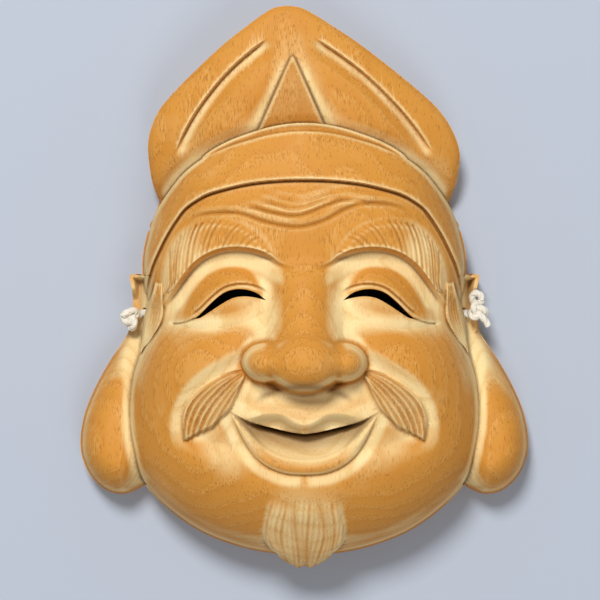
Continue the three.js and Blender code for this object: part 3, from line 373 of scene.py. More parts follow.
def brow_strength(share):
    return (0.5 + 0.5 * ramp(0.45, 0.7, share)) * (0.75 + 0.25 * math.sin(40 * share))


def moustache_strength(share):
    return 0.8 + 0.2 * math.cos(31 * share)


def beard_strength(share):
    return 0.75 + 0.25 * math.sin(37 * share)


BROW_CUTS = combed(brow_hair, 22, 0.95, 1.2, brow_strength)
MOUSTACHE_CUTS = combed(moustache_hair, 7, 1.5, 2.1, moustache_strength)
BEARD_CUTS = combed(beard_hair, 18, 1.05, 1.3, beard_strength)
SIDEBURN_CUTS = combed(sideburn_hair, 7, 0.75, 0.8)


def deepest(cuts, x, y):
    deep = np.zeros(x.shape)
    for line, half_width, depth in cuts:
        distance, _, _ = line.near(x, y, half_width)
        deep = np.maximum(deep, depth * vee(distance, half_width))
    return deep


# The head


def head_share(x, y):
    """0 at the head's middle, 1 on its outline."""
    angles = np.arctan2(HEAD_OUT.points[:, 1] - HEAD_CENTRE_Y, HEAD_OUT.points[:, 0])
    radii = np.hypot(HEAD_OUT.points[:, 0], HEAD_OUT.points[:, 1] - HEAD_CENTRE_Y)
    angle = np.arctan2(y - HEAD_CENTRE_Y, np.abs(x))
    return np.hypot(x, y - HEAD_CENTRE_Y) / np.interp(angle, angles[::-1], radii[::-1])


def dome_height(share):
    return RIM_Z + DOME * (1 - np.clip(share, 0, 1) ** 3) ** (1 / 2.3)


def swell(x, y):
    ax = np.abs(x)
    return (6 * mound(ax, y, 56, -42, 27, 24) + 2.5 * mound(x, y, 0, -108, 30, 12)
            + 1.5 * mound(ax, y, 62, -92, 26, 22) + 2.5 * mound(x, y, 0, 32, 45, 20)
            + 6.5 * mound(x, y, 0, -72, 33, 22))


def smile_hollow(ax, y):
    width = through(y, [(-112, 42), (-95, 36), (-80, 20), (-60, 12), (-30, 11)])
    side = SMILE_FOLD.near(ax, y, 60)[2]
    return 6 * ramp(0, width, -side) * ramp(-24, -40, y)


def eye_socket(ax, y):
    side = SOCKET_TOP.near(ax, y, 70)[2]
    reach = np.minimum(1, 1.6 * mound(ax, y, 41, 0, 34, 20, -14))
    return (8 * ramp(-0.5, 3, -side) * reach * ramp(80, 68, ax)
            + 1.2 * ramp(-1.5, 1.5, -side) * ramp(-8, 6, y) * ramp(24, 8, ax))


def eyeball(ax, y):
    above = EYE_UP.near(ax, y)[0]
    below = EYE_LOW.near(ax, y)[0]
    return 6 * ramp(0, 11, above) * (1 - (1 - np.clip(below / 13, 0, 1)) ** 2)


def lids(ax, y):
    _, share, side = LID_CREASE.near(ax, y, 5)
    tail, tail_share, _ = LID_TAIL.near(ax, y, 2)
    fade = ramp(0, 0.1, share) * ramp(1, 0.85, share)
    return (fade * (0.7 * vee(side + 1.6, 1.6) - 1.1 * vee(side, 0.9))
            - 1.4 * vee(tail, 0.9) * ramp(1, 0.85, tail_share))


def nose_height(x, y):
    ax = np.abs(x)
    ridge = through(y, [(-46, 103), (-38, 105), (-30, 102.5), (-20, 97.5), (-10, 93), (0, 89.5),
                        (10, 86.5), (22, 84)])
    flank = through(y, [(-40, 0.04), (-20, 0.046), (0, 0.038), (14, 0.016)])
    bridge = ridge - flank * x * x - 14 * ramp(4, 24, y) - 60 * (ramp(-42, -56, y) + ramp(-60, -90, y))
    tip = ball(x, y, 0, -38.7, 19, 14.6, 109, 18)
    wing = ball(ax, y, 20, -38.6, 12.3, 10.3, 100, 19)
    return soft_max(soft_max(bridge, tip, 7), wing, 9)


def moustache(ax, y):
    above = MOUSTACHE_UP.near(ax, y)[0]
    below = MOUSTACHE_LOW.near(ax, y)[0]
    return (4.6 * ramp(0, 1.8, below) * ramp(0, 2.5, above) * ramp(-40, -50, y)
            - deepest(MOUSTACHE_CUTS, ax, y) * ramp(0, 1, np.minimum(above, below)))


def brow(ax, y):
    above = BROW_TOP.near(ax, y)[0]
    return 1.5 * ramp(0, 4, above) - deepest(BROW_CUTS, ax, y) * ramp(0, 1.5, above)


def wrinkles(x, y):
    z = np.zeros(x.shape)
    for line, half_width, depth in WRINKLES:
        distance, share, side = line.near(x, y, 10)
        fade = ramp(0, 0.2, share) * ramp(1, 0.8, share)
        z += depth * fade * (0.6 * bell(side - 3.2, 2) - vee(distance, half_width))
    return z


def mouth_floor(ax, y):
    edge = LIP_EDGE.near(ax, y)[0]
    floor_edge = MOUTH_LOW.near(ax, y)[0]
    tall = edge + floor_edge
    down = 1 - edge / (tall + 1e-6)
    deep = 15 * down ** 1.25 * ramp(0, 0.8, edge) * ramp(0, 10, tall) + 0.8
    return -deep * ramp(0, 2.2, floor_edge)


def lower_lip(ax, y):
    floor_edge = MOUTH_LOW.near(ax, y)[0]
    tall = floor_edge + LOWER_LIP.near(ax, y)[0]
    return 2 * np.sin(np.pi * floor_edge / (tall + 1e-6)) * ramp(0, 5, tall)


def mouth(x, y):
    ax = np.abs(x)
    bow, bow_share, bow_side = LIP_BOW.near(ax, y, 9)
    edge_side = LIP_EDGE.near(ax, y)[2]
    chin, chin_share, chin_side = LOWER_LIP.near(ax, y, 14)
    z = -2.6 * mound(x, y, 0, -57, 24, 5)
    lip = 1.8 * bell(bow, 3.6) - 0.75 * np.clip(-bow_side, 0, 7)
    z += lip * ramp(1, 0.75, bow_share) * ramp(-2.5, -0.8, np.minimum(edge_side, 0))
    z -= 1.5 * bell(chin, 4.5) * ramp(1, 0.75, chin_share) * ramp(0.7, 0, chin_side)
    return z + within(MOUTH_PATCH, ax, y, mouth_floor) + within(LOWER_LIP_PATCH, ax, y, lower_lip)


def band_height(x, y):
    low = BAND_LOW.near(x, y)[2]
    return 3.4 * ramp(-0.3, 0.7, low) - 1.3 * vee(low + 0.7, 1.1)


def band_drop(x, above):
    """The band's upper edge: a crisp corner, a sunk strip, a bead, then the drop to the crown."""
    width = BEAD_RISE * np.sqrt(np.maximum(1 - (x / BEAD_END) ** 2, 0))
    strip = np.interp(above, [-2, 0, 1, 1.8], [0, 0.2, 2, 2.2])
    bead = 1.5 * bell(above - width, 0.9) * ramp(0.4, 1.6, width)
    return strip - bead + 30 * np.maximum(above - width - 0.8, 0)


NOTHING = -5.0


def head_height(x, y, above_band):
    ax = np.abs(x)
    share = head_share(x, y)
    z = (dome_height(share) + swell(x, y) - smile_hollow(ax, y) - eye_socket(ax, y)
         + within(EYE_PATCH, ax, y, eyeball) + lids(ax, y))
    z = soft_max(z, nose_height(x, y), 1.2 + 7 * ramp(-26, -8, y))
    z = z - 7 * mound(ax, y, 15.3, -50.3, 4.6, 1.9, 18)
    z = (z + within(MOUSTACHE_PATCH, ax, y, moustache) + within(BROW_PATCH, ax, y, brow)
         + wrinkles(x, y) + mouth(x, y) + band_height(x, y) - band_drop(x, above_band))
    return np.where(share >= 1, NOTHING, z)


def with_beard(x, y, z):
    inside = BEARD_PATCH.holds(np.abs(x), y)
    px, py, under = x[inside], y[inside], z[inside]
    distance = BEARD_SIDE.near(np.abs(px), py)[0]
    body = through(py, [(-150, 34), (-146, 39), (-140, 47), (-133, 54.5), (-125, 62), (-117, 68.5),
                        (-108, 73.5), (-100, 76)])
    tuft = (body + 1.5 - deepest(BEARD_CUTS, px, py) * ramp(-108, -115, py) - 0.006 * px * px
            - 4 * ramp(3, 0, distance) * ramp(-112, -125, py))
    # the tuft's edge is soft on the chin, and steep where it hangs over the chin's rim
    edge = np.maximum(ramp(0, 2.5 - 1.7 * ramp(50, 38, under), distance), ramp(32, 24, under))
    share = ramp(-104, -118, py) * edge
    raised = under + (np.maximum(tuft, under + 0.5) - under) * share
    result = z.copy()
    result[inside] = np.where(under < 20, tuft, np.maximum(under, raised))
    return result


# Ears, their lobes and the sideburns


def lobe(ax, y):
    inward = 1 - np.clip(LOBE.near(ax, y)[0] / 17, 0, 1)
    top = through(y, [(-112, 28), (-90, 33), (-60, 29), (-30, 20), (-10, 14)])
    return RIM_Z + 1 + top * np.sqrt(1 - inward * inward) - 5 * ramp(98, 88, ax)


def ear(ax, y):
    rim = ramp(4, 1.5, EAR.near(ax, y)[0]) * ramp(-7, 0, y)
    return 15 + 9 * rim + 8 * ramp(90, 84, ax) * ramp(-30, 0, y)


def side_height(x, y):
    ax = np.abs(x)
    z = np.full(x.shape, NOTHING)
    for patch, height in ((LOBE_PATCH, lobe), (EAR_PATCH, ear)):
        inside = patch.holds(ax, y)
        z[inside] = np.maximum(z[inside], height(ax[inside], y[inside]))
    across = np.abs(ax - sideburn_middle(y)) / sideburn_half_width(y)
    inside = (across < 1.3) & (y > -35) & (y < 4.5)
    px, py, pa = ax[inside], y[inside], across[inside]
    top = 51 + 5.5 * ramp(-14, -2, py) - 5 * ramp(1, 4.5, py) - 1.5 * (px - 76)
    z[inside] = np.maximum(z[inside], top - 14 * ramp(0.7, 1.3, pa) - deepest(SIDEBURN_CUTS, px, py))
    return z


# The cap's crown


def crown_lean(y):
    return CROWN_LEAN * np.clip((y - CROWN_LEAN_FROM) / (PEAK_Y - CROWN_LEAN_FROM), 0, 1)


def crown_height(x, y, above_band):
    u = np.abs(x - crown_lean(y))
    foot = 4 * ramp(12, 0, above_band)
    z = (23 + 27 * (1 - np.clip(u / 88, 0, 1) ** 1.8) - 0.16 * np.maximum(y - 85, 0)
         - 0.01 * np.maximum(85 - y, 0) ** 2 * (u / 84) ** 2 - foot)
    half = CREST_HALF * np.minimum((CREST_TIP - y) / (CREST_TIP - CREST_FOOT), 2)
    out = (np.abs(x - CREST_X) - half) * 0.91
    low = ramp(CREST_TIP, 88, y)
    flat = np.maximum(53.5 - 0.16 * (y - 85) - foot, z)
    scoop = z - 5.2 * low * np.clip(1 - out / (9 + 9 * low), 0, 1) ** 1.5
    share = np.clip(out / CREST_WALL, 0, 1)
    z = np.where(y < CREST_TIP, flat * (1 - share) + scoop * share, z)
    _, along, side = CROWN_GROOVE.near(u, y, 12)
    width = np.where(side < 0, GROOVE_SLOPE, GROOVE_WALL)
    z = z - 5 * vee(side, width) * ramp(0, 0.12, along) * ramp(1, 0.82, along)
    edge = vee(CROWN_OUT.near(u, y, 6)[0], 4.5)
    return np.where(CROWN_PATCH.holds(u, y), z - 3.2 * (1 - np.sqrt(1 - edge * edge)), NOTHING)


def front_height(x, y):
    above_band = BAND_TOP.near(x, y)[2]
    head = soft_max(with_beard(x, y, head_height(x, y, above_band)), side_height(x, y), 0.8)
    return np.maximum(soft_max(head, crown_height(x, y, above_band), 0.8), 2)


# Regions that are seen whole from one point


SOFT_TURNS = 16                # waves round the outline that the inner part of a grid follows


class Star:
    """A region with its reach in every direction from a centre."""

    def __init__(self, centre, loops, rays=2880):
        self.centre = np.array(centre, float)
        self.angles = np.linspace(-np.pi, np.pi, rays + 1)
        self.far = np.zeros(rays + 1)
        dx, dy = np.cos(self.angles), np.sin(self.angles)
        for loop in loops:
            corners = loop - self.centre
            for (ax, ay), (bx, by) in zip(corners[:-1], np.diff(corners, axis=0)):
                cross = dx * by - dy * bx
                cross[cross == 0] = 1e-12
                t = (ax * by - ay * bx) / cross
                s = (ax * dy - ay * dx) / cross
                self.far = np.where((s >= 0) & (s <= 1) & (t > self.far), t, self.far)
        turns = np.fft.fftfreq(rays, 1 / rays)
        soft = np.fft.ifft(np.fft.fft(self.far[:-1]) * np.exp(-(turns / SOFT_TURNS) ** 2)).real
        self.soft = np.append(soft, soft[0])

    def reach(self, angle):
        return np.interp(angle, self.angles, self.far)

    def grid(self, cells):
        """Points of a square grid, spread out to the region's outline."""
        line = np.linspace(-1, 1, cells + 1)
        a, b = np.meshgrid(line, line)
        angle = np.arctan2(b, a)
        share = np.maximum(np.abs(a), np.abs(b))
        soft = np.interp(angle, self.angles, self.soft)
        radius = share * (soft + (self.reach(angle) - soft) * np.clip((share - 0.86) / 0.14, 0, 1))
        return self.centre[0] + radius * np.cos(angle), self.centre[1] + radius * np.sin(angle)


def silhouettes():
    for line in (HEAD_OUT, LOBE, EAR, BEARD_SIDE, CROWN_OUT):
        for sign in (1, -1):
            loop = line.points * (sign, 1)
            if line is CROWN_OUT:
                loop[:, 0] += crown_lean(loop[:, 1])
            yield loop


OUTLINE = Star((0, -7), list(silhouettes()))
READ_IN = 0.5                  # the field may end at the outline, so it is read this far inside


def read_inside(x, y):
    """The front's height, read a little inside the outline where a point is on it or outside."""
    dx, dy = x - OUTLINE.centre[0], y - OUTLINE.centre[1]
    radius = np.maximum(np.hypot(dx, dy), 1e-9)
    share = np.minimum(1, (OUTLINE.reach(np.arctan2(dy, dx)) - READ_IN) / radius)
    return front_height(OUTLINE.centre[0] + dx * share, OUTLINE.centre[1] + dy * share)


# Meshes from arrays


def new_mesh_object(name, vertices, faces, material=None):
    """An object in the scene from millimetre vertices and an array of faces."""
    mesh = bpy.data.meshes.new(name)
    mesh.from_pydata(np.asarray(vertices) * MM, [], faces)
    mesh.update()
    if material:
        mesh.materials.append(material)
    piece = bpy.data.objects.new(name, mesh)
    bpy.context.collection.objects.link(piece)
    return piece


def closed_sheet(x, y, z, floor):
    """A solid between a grid of points and a flat floor: vertices and faces."""
    rows, columns = x.shape
    index = np.arange(rows * columns).reshape(rows, columns)
    top = np.column_stack([x.ravel(), y.ravel(), z.ravel()])
    quads = np.stack([index[:-1, :-1], index[:-1, 1:], index[1:, 1:], index[1:, :-1]], -1).reshape(-1, 4)
    rim = np.concatenate([index[0, :-1], index[:-1, -1], index[-1, :0:-1], index[:0:-1, 0]])
    base = top[rim].copy()
    base[:, 2] = floor
    low = len(top) + np.arange(len(rim))
    following = np.roll(np.arange(len(rim)), -1)
    skirt = np.column_stack([rim[following], rim, low, low[following]])
    return np.vstack([top, base]), [*quads.tolist(), *skirt.tolist(), low[::-1].tolist()]


# The hollow behind the face, and the shallow scoop behind the crown

WALL = 13
HOLLOW_OUT = Line([
    (0, 66), (25, 63), (48, 50), (62, 32), (69, 10), (70, -10), (74, -30), (80, -50), (82, -66),
    (81, -82), (76, -97), (66, -110), (50, -120), (28, -127), (0, -129)], 2)                   # half
HOLLOW_LIP = 16
SCOOP_MIDDLE, SCOOP_RADII, SCOOP_DEPTH = (-4, 101), (58, 25), 24
BELOW = -2


# It keeps off the mouth, the nostrils and the eye sockets, where the front is carved deepest.
def hollow_height(x, y):
    top = (dome_height(head_share(x, y)) + swell(x, y) * 0.6 - WALL
           - 20 * mound(x, y, 0, -77, 38, 14) - 5 * mound(np.abs(x), y, 16, -51, 10, 7)
           - 5 * mound(np.abs(x), y, 20, -72.5, 8, 5) - 6 * mound(np.abs(x), y, 41, -2, 34, 20))
    inward = 1 - np.clip(HOLLOW_OUT.near(np.abs(x), y)[0] / HOLLOW_LIP, 0, 1)
    return BELOW + 1 + (top - BELOW) * np.sqrt(np.maximum(1 - inward ** 2.4, 0))


def scoop_height(x, y):
    share = np.hypot((x - SCOOP_MIDDLE[0]) / SCOOP_RADII[0], (y - SCOOP_MIDDLE[1]) / SCOOP_RADII[1])
    return BELOW + 1 + (SCOOP_DEPTH - BELOW) * np.sqrt(np.maximum(1 - share ** 2.4, 0))


def hollow_cutter(cells):
    loop = np.vstack([HOLLOW_OUT.points, HOLLOW_OUT.points[::-1] * (-1, 1)])
    x, y = Star((0, HEAD_CENTRE_Y), [loop]).grid(cells)
    return new_mesh_object("hollow", *closed_sheet(x, y, hollow_height(x, y), BELOW))


def scoop_cutter(cells):
    turn = np.linspace(0, 2 * np.pi, 181)
    loop = np.column_stack([np.cos(turn), np.sin(turn)]) * SCOOP_RADII + SCOOP_MIDDLE
    x, y = Star(SCOOP_MIDDLE, [loop]).grid(cells)
    return new_mesh_object("scoop", *closed_sheet(x, y, scoop_height(x, y), BELOW))


def slit_cutter(sign):
    loop = np.vstack([SLIT_LOW.points, SLIT_UP.points[-2:0:-1]]) * (sign, 1)
    if sign < 0:
        loop = loop[::-1]
    count = len(loop)
    levels = [np.column_stack([loop, np.full(count, z)]) for z in (30, 120)]
    sides = [(i, (i + 1) % count, (i + 1) % count + count, i + count) for i in range(count)]
    return new_mesh_object("slit", np.vstack(levels), [
        *sides, list(range(count))[::-1], list(range(count, 2 * count))])


HOLE_FRONT = Vector((90.5, -14, 21))
HOLE_BACK = Vector((62, -14, 9))
HOLE_DIAMETER = 6.4


def hole_cutter(sign):
    flip = Matrix.Diagonal((sign, 1, 1))
    start = flip @ HOLE_FRONT.lerp(HOLE_BACK, -0.35)
    end = flip @ HOLE_BACK
    bpy.ops.mesh.primitive_cylinder_add(
        vertices=32, radius=HOLE_DIAMETER / 2 * MM, depth=(end - start).length * MM)
    cutter = bpy.context.object
    cutter.rotation_mode = "QUATERNION"
    cutter.rotation_quaternion = (end - start).to_track_quat("Z", "Y")
    cutter.location = (start + end) / 2 * MM
    return cutter


def baked(piece):
    """Makes the piece's evaluated shape its own mesh and drops its modifiers."""
    graph = bpy.context.evaluated_depsgraph_get()
    graph.update()
    mesh = bpy.data.meshes.new_from_object(piece.evaluated_get(graph), depsgraph=graph)
    if piece.type == "MESH":
        piece.modifiers.clear()
        piece.data = mesh
        return piece
    name = piece.name
    bpy.data.objects.remove(piece)
    result = bpy.data.objects.new(name, mesh)
    bpy.context.collection.objects.link(result)
    return result


def cut_away(piece, cutters):
    for cutter in cutters:
        modifier = piece.modifiers.new("cut", "BOOLEAN")
        modifier.operation = "DIFFERENCE"
        modifier.solver = "MANIFOLD"
        modifier.object = cutter
    baked(piece)
    for cutter in cutters:
        bpy.data.objects.remove(cutter)


def corners_of(piece):
    """The piece's corners in millimetres, as three arrays."""
    corners = np.empty(len(piece.data.vertices) * 3)
    piece.data.vertices.foreach_get("co", corners)
    return corners.reshape(-1, 3).T / MM


def thin_out(piece, triangles, kept):
    """Merges triangles where the surface is plain, down to a number, round the corners kept."""
    piece.data.calc_loop_triangles()
    group = piece.vertex_groups.new(name="kept")
    group.add(kept, 1.0, "REPLACE")
    modifier = piece.modifiers.new("thin", "DECIMATE")
    modifier.ratio = min(1, triangles / len(piece.data.loop_triangles))
    modifier.use_collapse_triangulate = True
    modifier.vertex_group = group.name
    modifier.invert_vertex_group = True
    baked(piece)
    piece.vertex_groups.clear()


# The finish follows the carving: hollows and cuts are pale or dark, raised wood is golden; the dark in the
# cuts is partly painted shade, and painted shade also darkens the mouth, the underside of the nose, a strip
# under the lip's bow and the crown's triangle

RASTER_STEP = 0.5


class Relief:
    """The front's heights on an even raster, and how far each place lies below its surroundings."""

    def __init__(self):
        self.low = MASK_LOW[:2] - 1
        size = np.ceil((MASK_HIGH[:2] + 1 - self.low) / RASTER_STEP).astype(int)
        x, y = np.meshgrid(*(low + RASTER_STEP * np.arange(n) for low, n in zip(self.low, size)))
        self.x, self.y = x, y
        self.inside = np.hypot(*(np.stack([x, y]) - OUTLINE.centre[:, None, None])) < OUTLINE.reach(
            np.arctan2(y - OUTLINE.centre[1], x - OUTLINE.centre[0]))
        self.z = np.zeros(x.shape)
        self.z[self.inside] = read_inside(x[self.inside], y[self.inside])

    def blurred(self, values, width):
        frequencies = [np.fft.fftfreq(n, RASTER_STEP) for n in values.shape]
        fy, fx = np.meshgrid(*frequencies, indexing="ij")
        keep = np.exp(-2 * (np.pi * width) ** 2 * (fx * fx + fy * fy))
        total, weight = (np.fft.ifft2(np.fft.fft2(part * self.inside) * keep).real
                         for part in (values, np.ones(values.shape)))
        return total / np.maximum(weight, 1e-3)

    def sample(self, values, x, y):
        columns = np.clip((x - self.low[0]) / RASTER_STEP, 0, values.shape[1] - 1.001)
        rows = np.clip((y - self.low[1]) / RASTER_STEP, 0, values.shape[0] - 1.001)
        i, j = rows.astype(int), columns.astype(int)
        v, u = rows - i, columns - j
        return ((values[i, j] * (1 - u) + values[i, j + 1] * u) * (1 - v)
                + (values[i + 1, j] * (1 - u) + values[i + 1, j + 1] * u) * v)


def strip(line, x, y, from_side, to_side, reach=14.0):
    """1 between two signed distances from a line, softly less outside them."""
    _, share, side = line.near(x, y, reach)
    middle, half = (from_side + to_side) / 2, abs(to_side - from_side) / 2
    return ramp(half + 1.5, half - 1.5, np.abs(side - middle)) * ramp(0, 0.06, share) * ramp(1, 0.94, share)


def finish_and_shade_masks(relief):
    """How pale, how dark and how worn the finish is over the raster; the dark mask holds painted shade as
    well.
    """
    x, y = relief.x, relief.y
    ax, u = np.abs(x), np.abs(x - crown_lean(y))
    above_band = BAND_TOP.near(x, y)[2]
    crown = ramp(0, 3, above_band - BEAD_RISE)
    dx, dy = x - OUTLINE.centre[0], y - OUTLINE.centre[1]
    rim = OUTLINE.reach(np.arctan2(dy, dx)) - np.hypot(dx, dy)
    smooth = relief.blurred(relief.z, 1.4)
    near, wide = (relief.blurred(relief.z, width) - smooth for width in (4, 11))
    fine = relief.blurred(relief.z, 0.9) - relief.z
    # what is sunk below its surroundings is left bare, but not towards the outline
    pale = (0.9 * ramp(0.25, 1.7, near) + 0.6 * ramp(1.2, 5, wide)) * ramp(2, 11, rim)
    pale *= 1 - 0.7 * crown
    # the eye: bare round the lids, stained on the lid's roll and a little on the lower lid
    pale += 0.8 * strip(SOCKET_TOP, ax, y, -10, -2) + 0.7 * mound(ax, y, 17, -14, 8, 14)
    pale += 0.7 * mound(ax, y, 69, -10, 8, 14) + 0.7 * mound(ax, y, 44, -20, 24, 4, -3)
    pale -= 0.8 * mound(ax, y, 42, 4.5, 15, 6, -8)
    pale += 0.6 * within(EYE_PATCH, ax, y, lambda a, b: ramp(2, -2, SLIT_LOW.near(a, b)[2]))
    pale -= 0.4 * mound(ax, y, 40, -12, 9, 3.5, -14) + 0.5 * mound(ax, y, 60, -8, 8, 6, -50)
    # the forehead's folds and the upper edge of the brow
    for line, *_ in WRINKLES:
        _, share, side = line.near(x, y, 8.0)
        pale += 0.4 * bell(side - 2.9, 1.2) * ramp(0, 0.2, share) * ramp(1, 0.8, share)
    pale += 0.45 * strip(BROW_TOP, ax, y, -1.2, 1.6, 6.0)
    # round the nose, the moustache and the mouth
    nose = np.maximum(mound(ax, y, 20, -39, 13.5, 11.5), mound(x, y, 0, -39.5, 21, 15.5))
    nose = np.maximum(ramp(0.25, 0.38, nose), ramp(14, 8.5, ax) * ramp(-34, -26, y) * ramp(16, 10, y))
    pale *= 1 - nose
    pale += 0.8 * strip(SMILE_FOLD, ax, y, -9, -2) * ramp(-92, -72, y)
    pale += 0.9 * mound(x, y, 0, -61, 46, 12) * (1 - nose) + 0.6 * strip(LIP_EDGE, ax, y, 0, 7, 10.0)
    pale += 0.6 * mound(ax, y, 44, -86, 15, 9, 35)
    pale += 0.8 * strip(LOWER_LIP, ax, y, -6, -1)
    pale = np.maximum(pale, 0.95 * MOUTH_PATCH.holds(ax, y))
    lip = LOWER_LIP_PATCH.holds(ax, y)
    lip_shade = bell(LOWER_LIP.near(ax, y, 12.0)[0] - 2.8, 2.6) * ramp(30, 16, ax)
    pale = np.where(lip, 0.85 - 0.8 * lip_shade, pale)
    pale += 0.3 * mound(x, y, 0, -110, 26, 10)
    # the ear above its lobe, and a line along the cheek's edge
    pale += 0.85 * mound(ax, y, 93, -36, 7, 15, -20) + 0.6 * mound(ax, y, 92, 0, 6, 8)
    pale += 0.7 * mound(ax, y, 82, -24, 5, 13)
    pale += 0.8 * strip(HEAD_OUT, ax, y, -2.6, 0.6) * ramp(-25, -40, y) * ramp(-128, -100, y)
    pale -= 0.5 * mound(ax, y, 107, -80, 10, 24, 10)
    # beside the crown's flat triangle and inside its grooves
    half = CREST_HALF * (CREST_TIP - y) / (CREST_TIP - CREST_FOOT)
    beside = (np.abs(x - CREST_X) - half) * 0.91
    pale += crown * 0.8 * bell(beside - 2.5, 3.5) * ramp(CREST_TIP + 6, CREST_TIP - 12, y) * (beside > 0)
    pale += 0.8 * strip(CROWN_GROOVE, u, y, -3.5, -0.5) - crown * 0.5 * (beside < 0) * (y < CREST_TIP)
    worn = ramp(0.1, 0.45, -fine) * ramp(0, 1.5, rim)
    # narrow cuts are darkened, partly as stain and partly as painted shade, but not those round the nose,
    # the lobes and the outline
    undarkened = mound(ax, y, 96, -12, 15, 28) + 1.4 * mound(ax, y, 24, -37, 20, 18) + mound(x, y, 0, -37, 26, 18)
    undarkened += 0.6 * mound(ax, y, 98, -80, 8, 40) + 0.7 * strip(LOWER_LIP, ax, y, -4, 3)
    stain_and_shade = ramp(0.12, 0.7, fine) * (1 - 0.8 * np.minimum(undarkened, 1)) * ramp(2, 5, rim)
    stain_and_shade *= 1 - 0.5 * strip(CROWN_GROOVE, u, y, -2, 3)
    # hair: pale ridges, and cuts darkened partly as stain and partly as painted shade, but the inner half of
    # a brow is stained all over
    outer = ramp(0.42, 0.7, BROW_TOP.near(ax, y)[1])
    tip = ramp(28, 60, ax - 0.15 * y)
    for cuts, patch, px, ridge, share in (
            (BROW_CUTS, BROW_PATCH, ax, 0.85 * outer, 0.85 - 0.5 * outer),
            (MOUSTACHE_CUTS, MOUSTACHE_PATCH, ax, 1 - 0.3 * tip, 0.2 + 0.15 * tip),
            (BEARD_CUTS, BEARD_PATCH, x, 0.95 * ramp(-105, -117, y), 0)):
        tuft = patch.holds(ax, y)
        strokes = np.zeros(x.shape)
        strokes[tuft] = deepest(cuts, px[tuft], y[tuft])
        combed_pale = ridge * (1 - 0.8 * ramp(0.2, 1, strokes))
        soft = ridge if patch is BEARD_PATCH else 1
        pale = np.where(tuft, pale + (combed_pale - pale) * soft, pale)
        stain_and_shade = np.where(tuft, share * ramp(0.2, 0.8, strokes), stain_and_shade)
    pale = relief.blurred(np.clip(pale, 0, 1), 0.5)
    # painted shade over the crown's flat triangle below its tip
    stain_and_shade = np.maximum(stain_and_shade, 0.22 * crown * ramp(1, -1, beside) * ramp(CREST_TIP + 2, CREST_TIP - 6, y))
    # painted shade on the strip of lip under the lip's bow, which faces down
    stain_and_shade = np.maximum(stain_and_shade, 0.3 * strip(LIP_BOW, ax, y, -5, -1.5, 9.0))
    # painted shade inside the mouth, darkest under the upper lip's edge and fading towards the floor
    painted_mouth_shade = within(MOUTH_PATCH, ax, y, lambda a, b: ramp(14, 4, LIP_EDGE.near(a, b)[0]))
    stain_and_shade = np.maximum(stain_and_shade, 0.75 * painted_mouth_shade)
    # painted shadow along the underside of the nose
    stain_and_shade = np.maximum(stain_and_shade, 0.8 * bell(y + 51 + 0.012 * x * x, 2) * ramp(27, 20, ax))
    return {"pale": pale, "stain_and_shade": stain_and_shade, "worn": worn}


KEPT_APART = 1.1               # where the finish or the painted shade changes, one corner is kept in each square this wide
CHANGE = 0.05                  # a change of the finish or the painted shade over a millimetre that counts


def changing_corners(piece, relief, masks):
    """One corner of each small square in which the finish or the painted shade changes."""
    change = np.zeros(relief.x.shape)
    for values in masks.values():
        change = np.maximum(change, np.hypot(*np.gradient(values, RASTER_STEP)))
    x, y, z = corners_of(piece)
    front = relief.sample(relief.z, x, y) - z < 0.5
    wanted = np.flatnonzero(front & (relief.sample(relief.blurred(change, 1), x, y) > CHANGE))
    squares = np.floor(np.stack([x[wanted], y[wanted]]) / KEPT_APART).astype(int)
    _, first = np.unique(squares[0] * 1000 + squares[1], return_index=True)
    return wanted[first].tolist()


def add_finish_and_shade_masks(piece, relief, masks):
    x, y, z = corners_of(piece)
    front = ramp(4, 0.5, relief.sample(relief.z, x, y) - z)
    for name, values in masks.items():
        attribute = piece.data.attributes.new(name, "FLOAT", "POINT")
        attribute.data.foreach_set("value", (relief.sample(values, x, y) * front).astype(np.float32))


# Node trees


class Nodes:
    """Adds nodes to a tree, left to right, and links them by socket name."""

    def __init__(self, tree):
        self.tree = tree

    def add(self, kind, inputs=None, **settings):
        node = self.tree.nodes.new(kind)
        node.location.x = 200 * len(self.tree.nodes)
        for key, value in settings.items():
            setattr(node, key, value)
        for key, value in (inputs or {}).items():
            self.set(node, key, value)
        return node

    def set(self, node, key, value):
        socket = node.inputs[key]
        if isinstance(value, bpy.types.NodeSocket):
            self.tree.links.new(value, socket)
        elif isinstance(value, bpy.types.Node):
            self.tree.links.new(value.outputs[0], socket)
        else:
            socket.default_value = value

    def math(self, operation, a, b=0.0, clamp=False):
        return self.add("ShaderNodeMath", {0: a, 1: b}, operation=operation, use_clamp=clamp)

    def span(self, value, low, high, to_low=0.0, to_high=1.0):
        return self.add("ShaderNodeMapRange", {
            "Value": value, "From Min": low, "From Max": high, "To Min": to_low, "To Max": to_high},
            interpolation_type="SMOOTHSTEP").outputs["Result"]

    def blend(self, share, a, b, blend_type="MIX"):
        node = self.add("ShaderNodeMix", data_type="RGBA", blend_type=blend_type)
        for index, value in ((0, share), (6, a), (7, b)):
            self.set(node, index, value)
        return node.outputs[2]


def new_group(name, kind, inputs, outputs):
    """A node group with its sockets, its input node and its output node."""
    tree = bpy.data.node_groups.new(name, kind)
    for direction, sockets in (("INPUT", inputs), ("OUTPUT", outputs)):
        for label, socket_type, default in sockets:
            socket = tree.interface.new_socket(label, in_out=direction, socket_type=socket_type)
            if default is not None:
                socket.default_value = default
    nodes = Nodes(tree)
    return nodes, nodes.add("NodeGroupInput"), nodes.add("NodeGroupOutput")


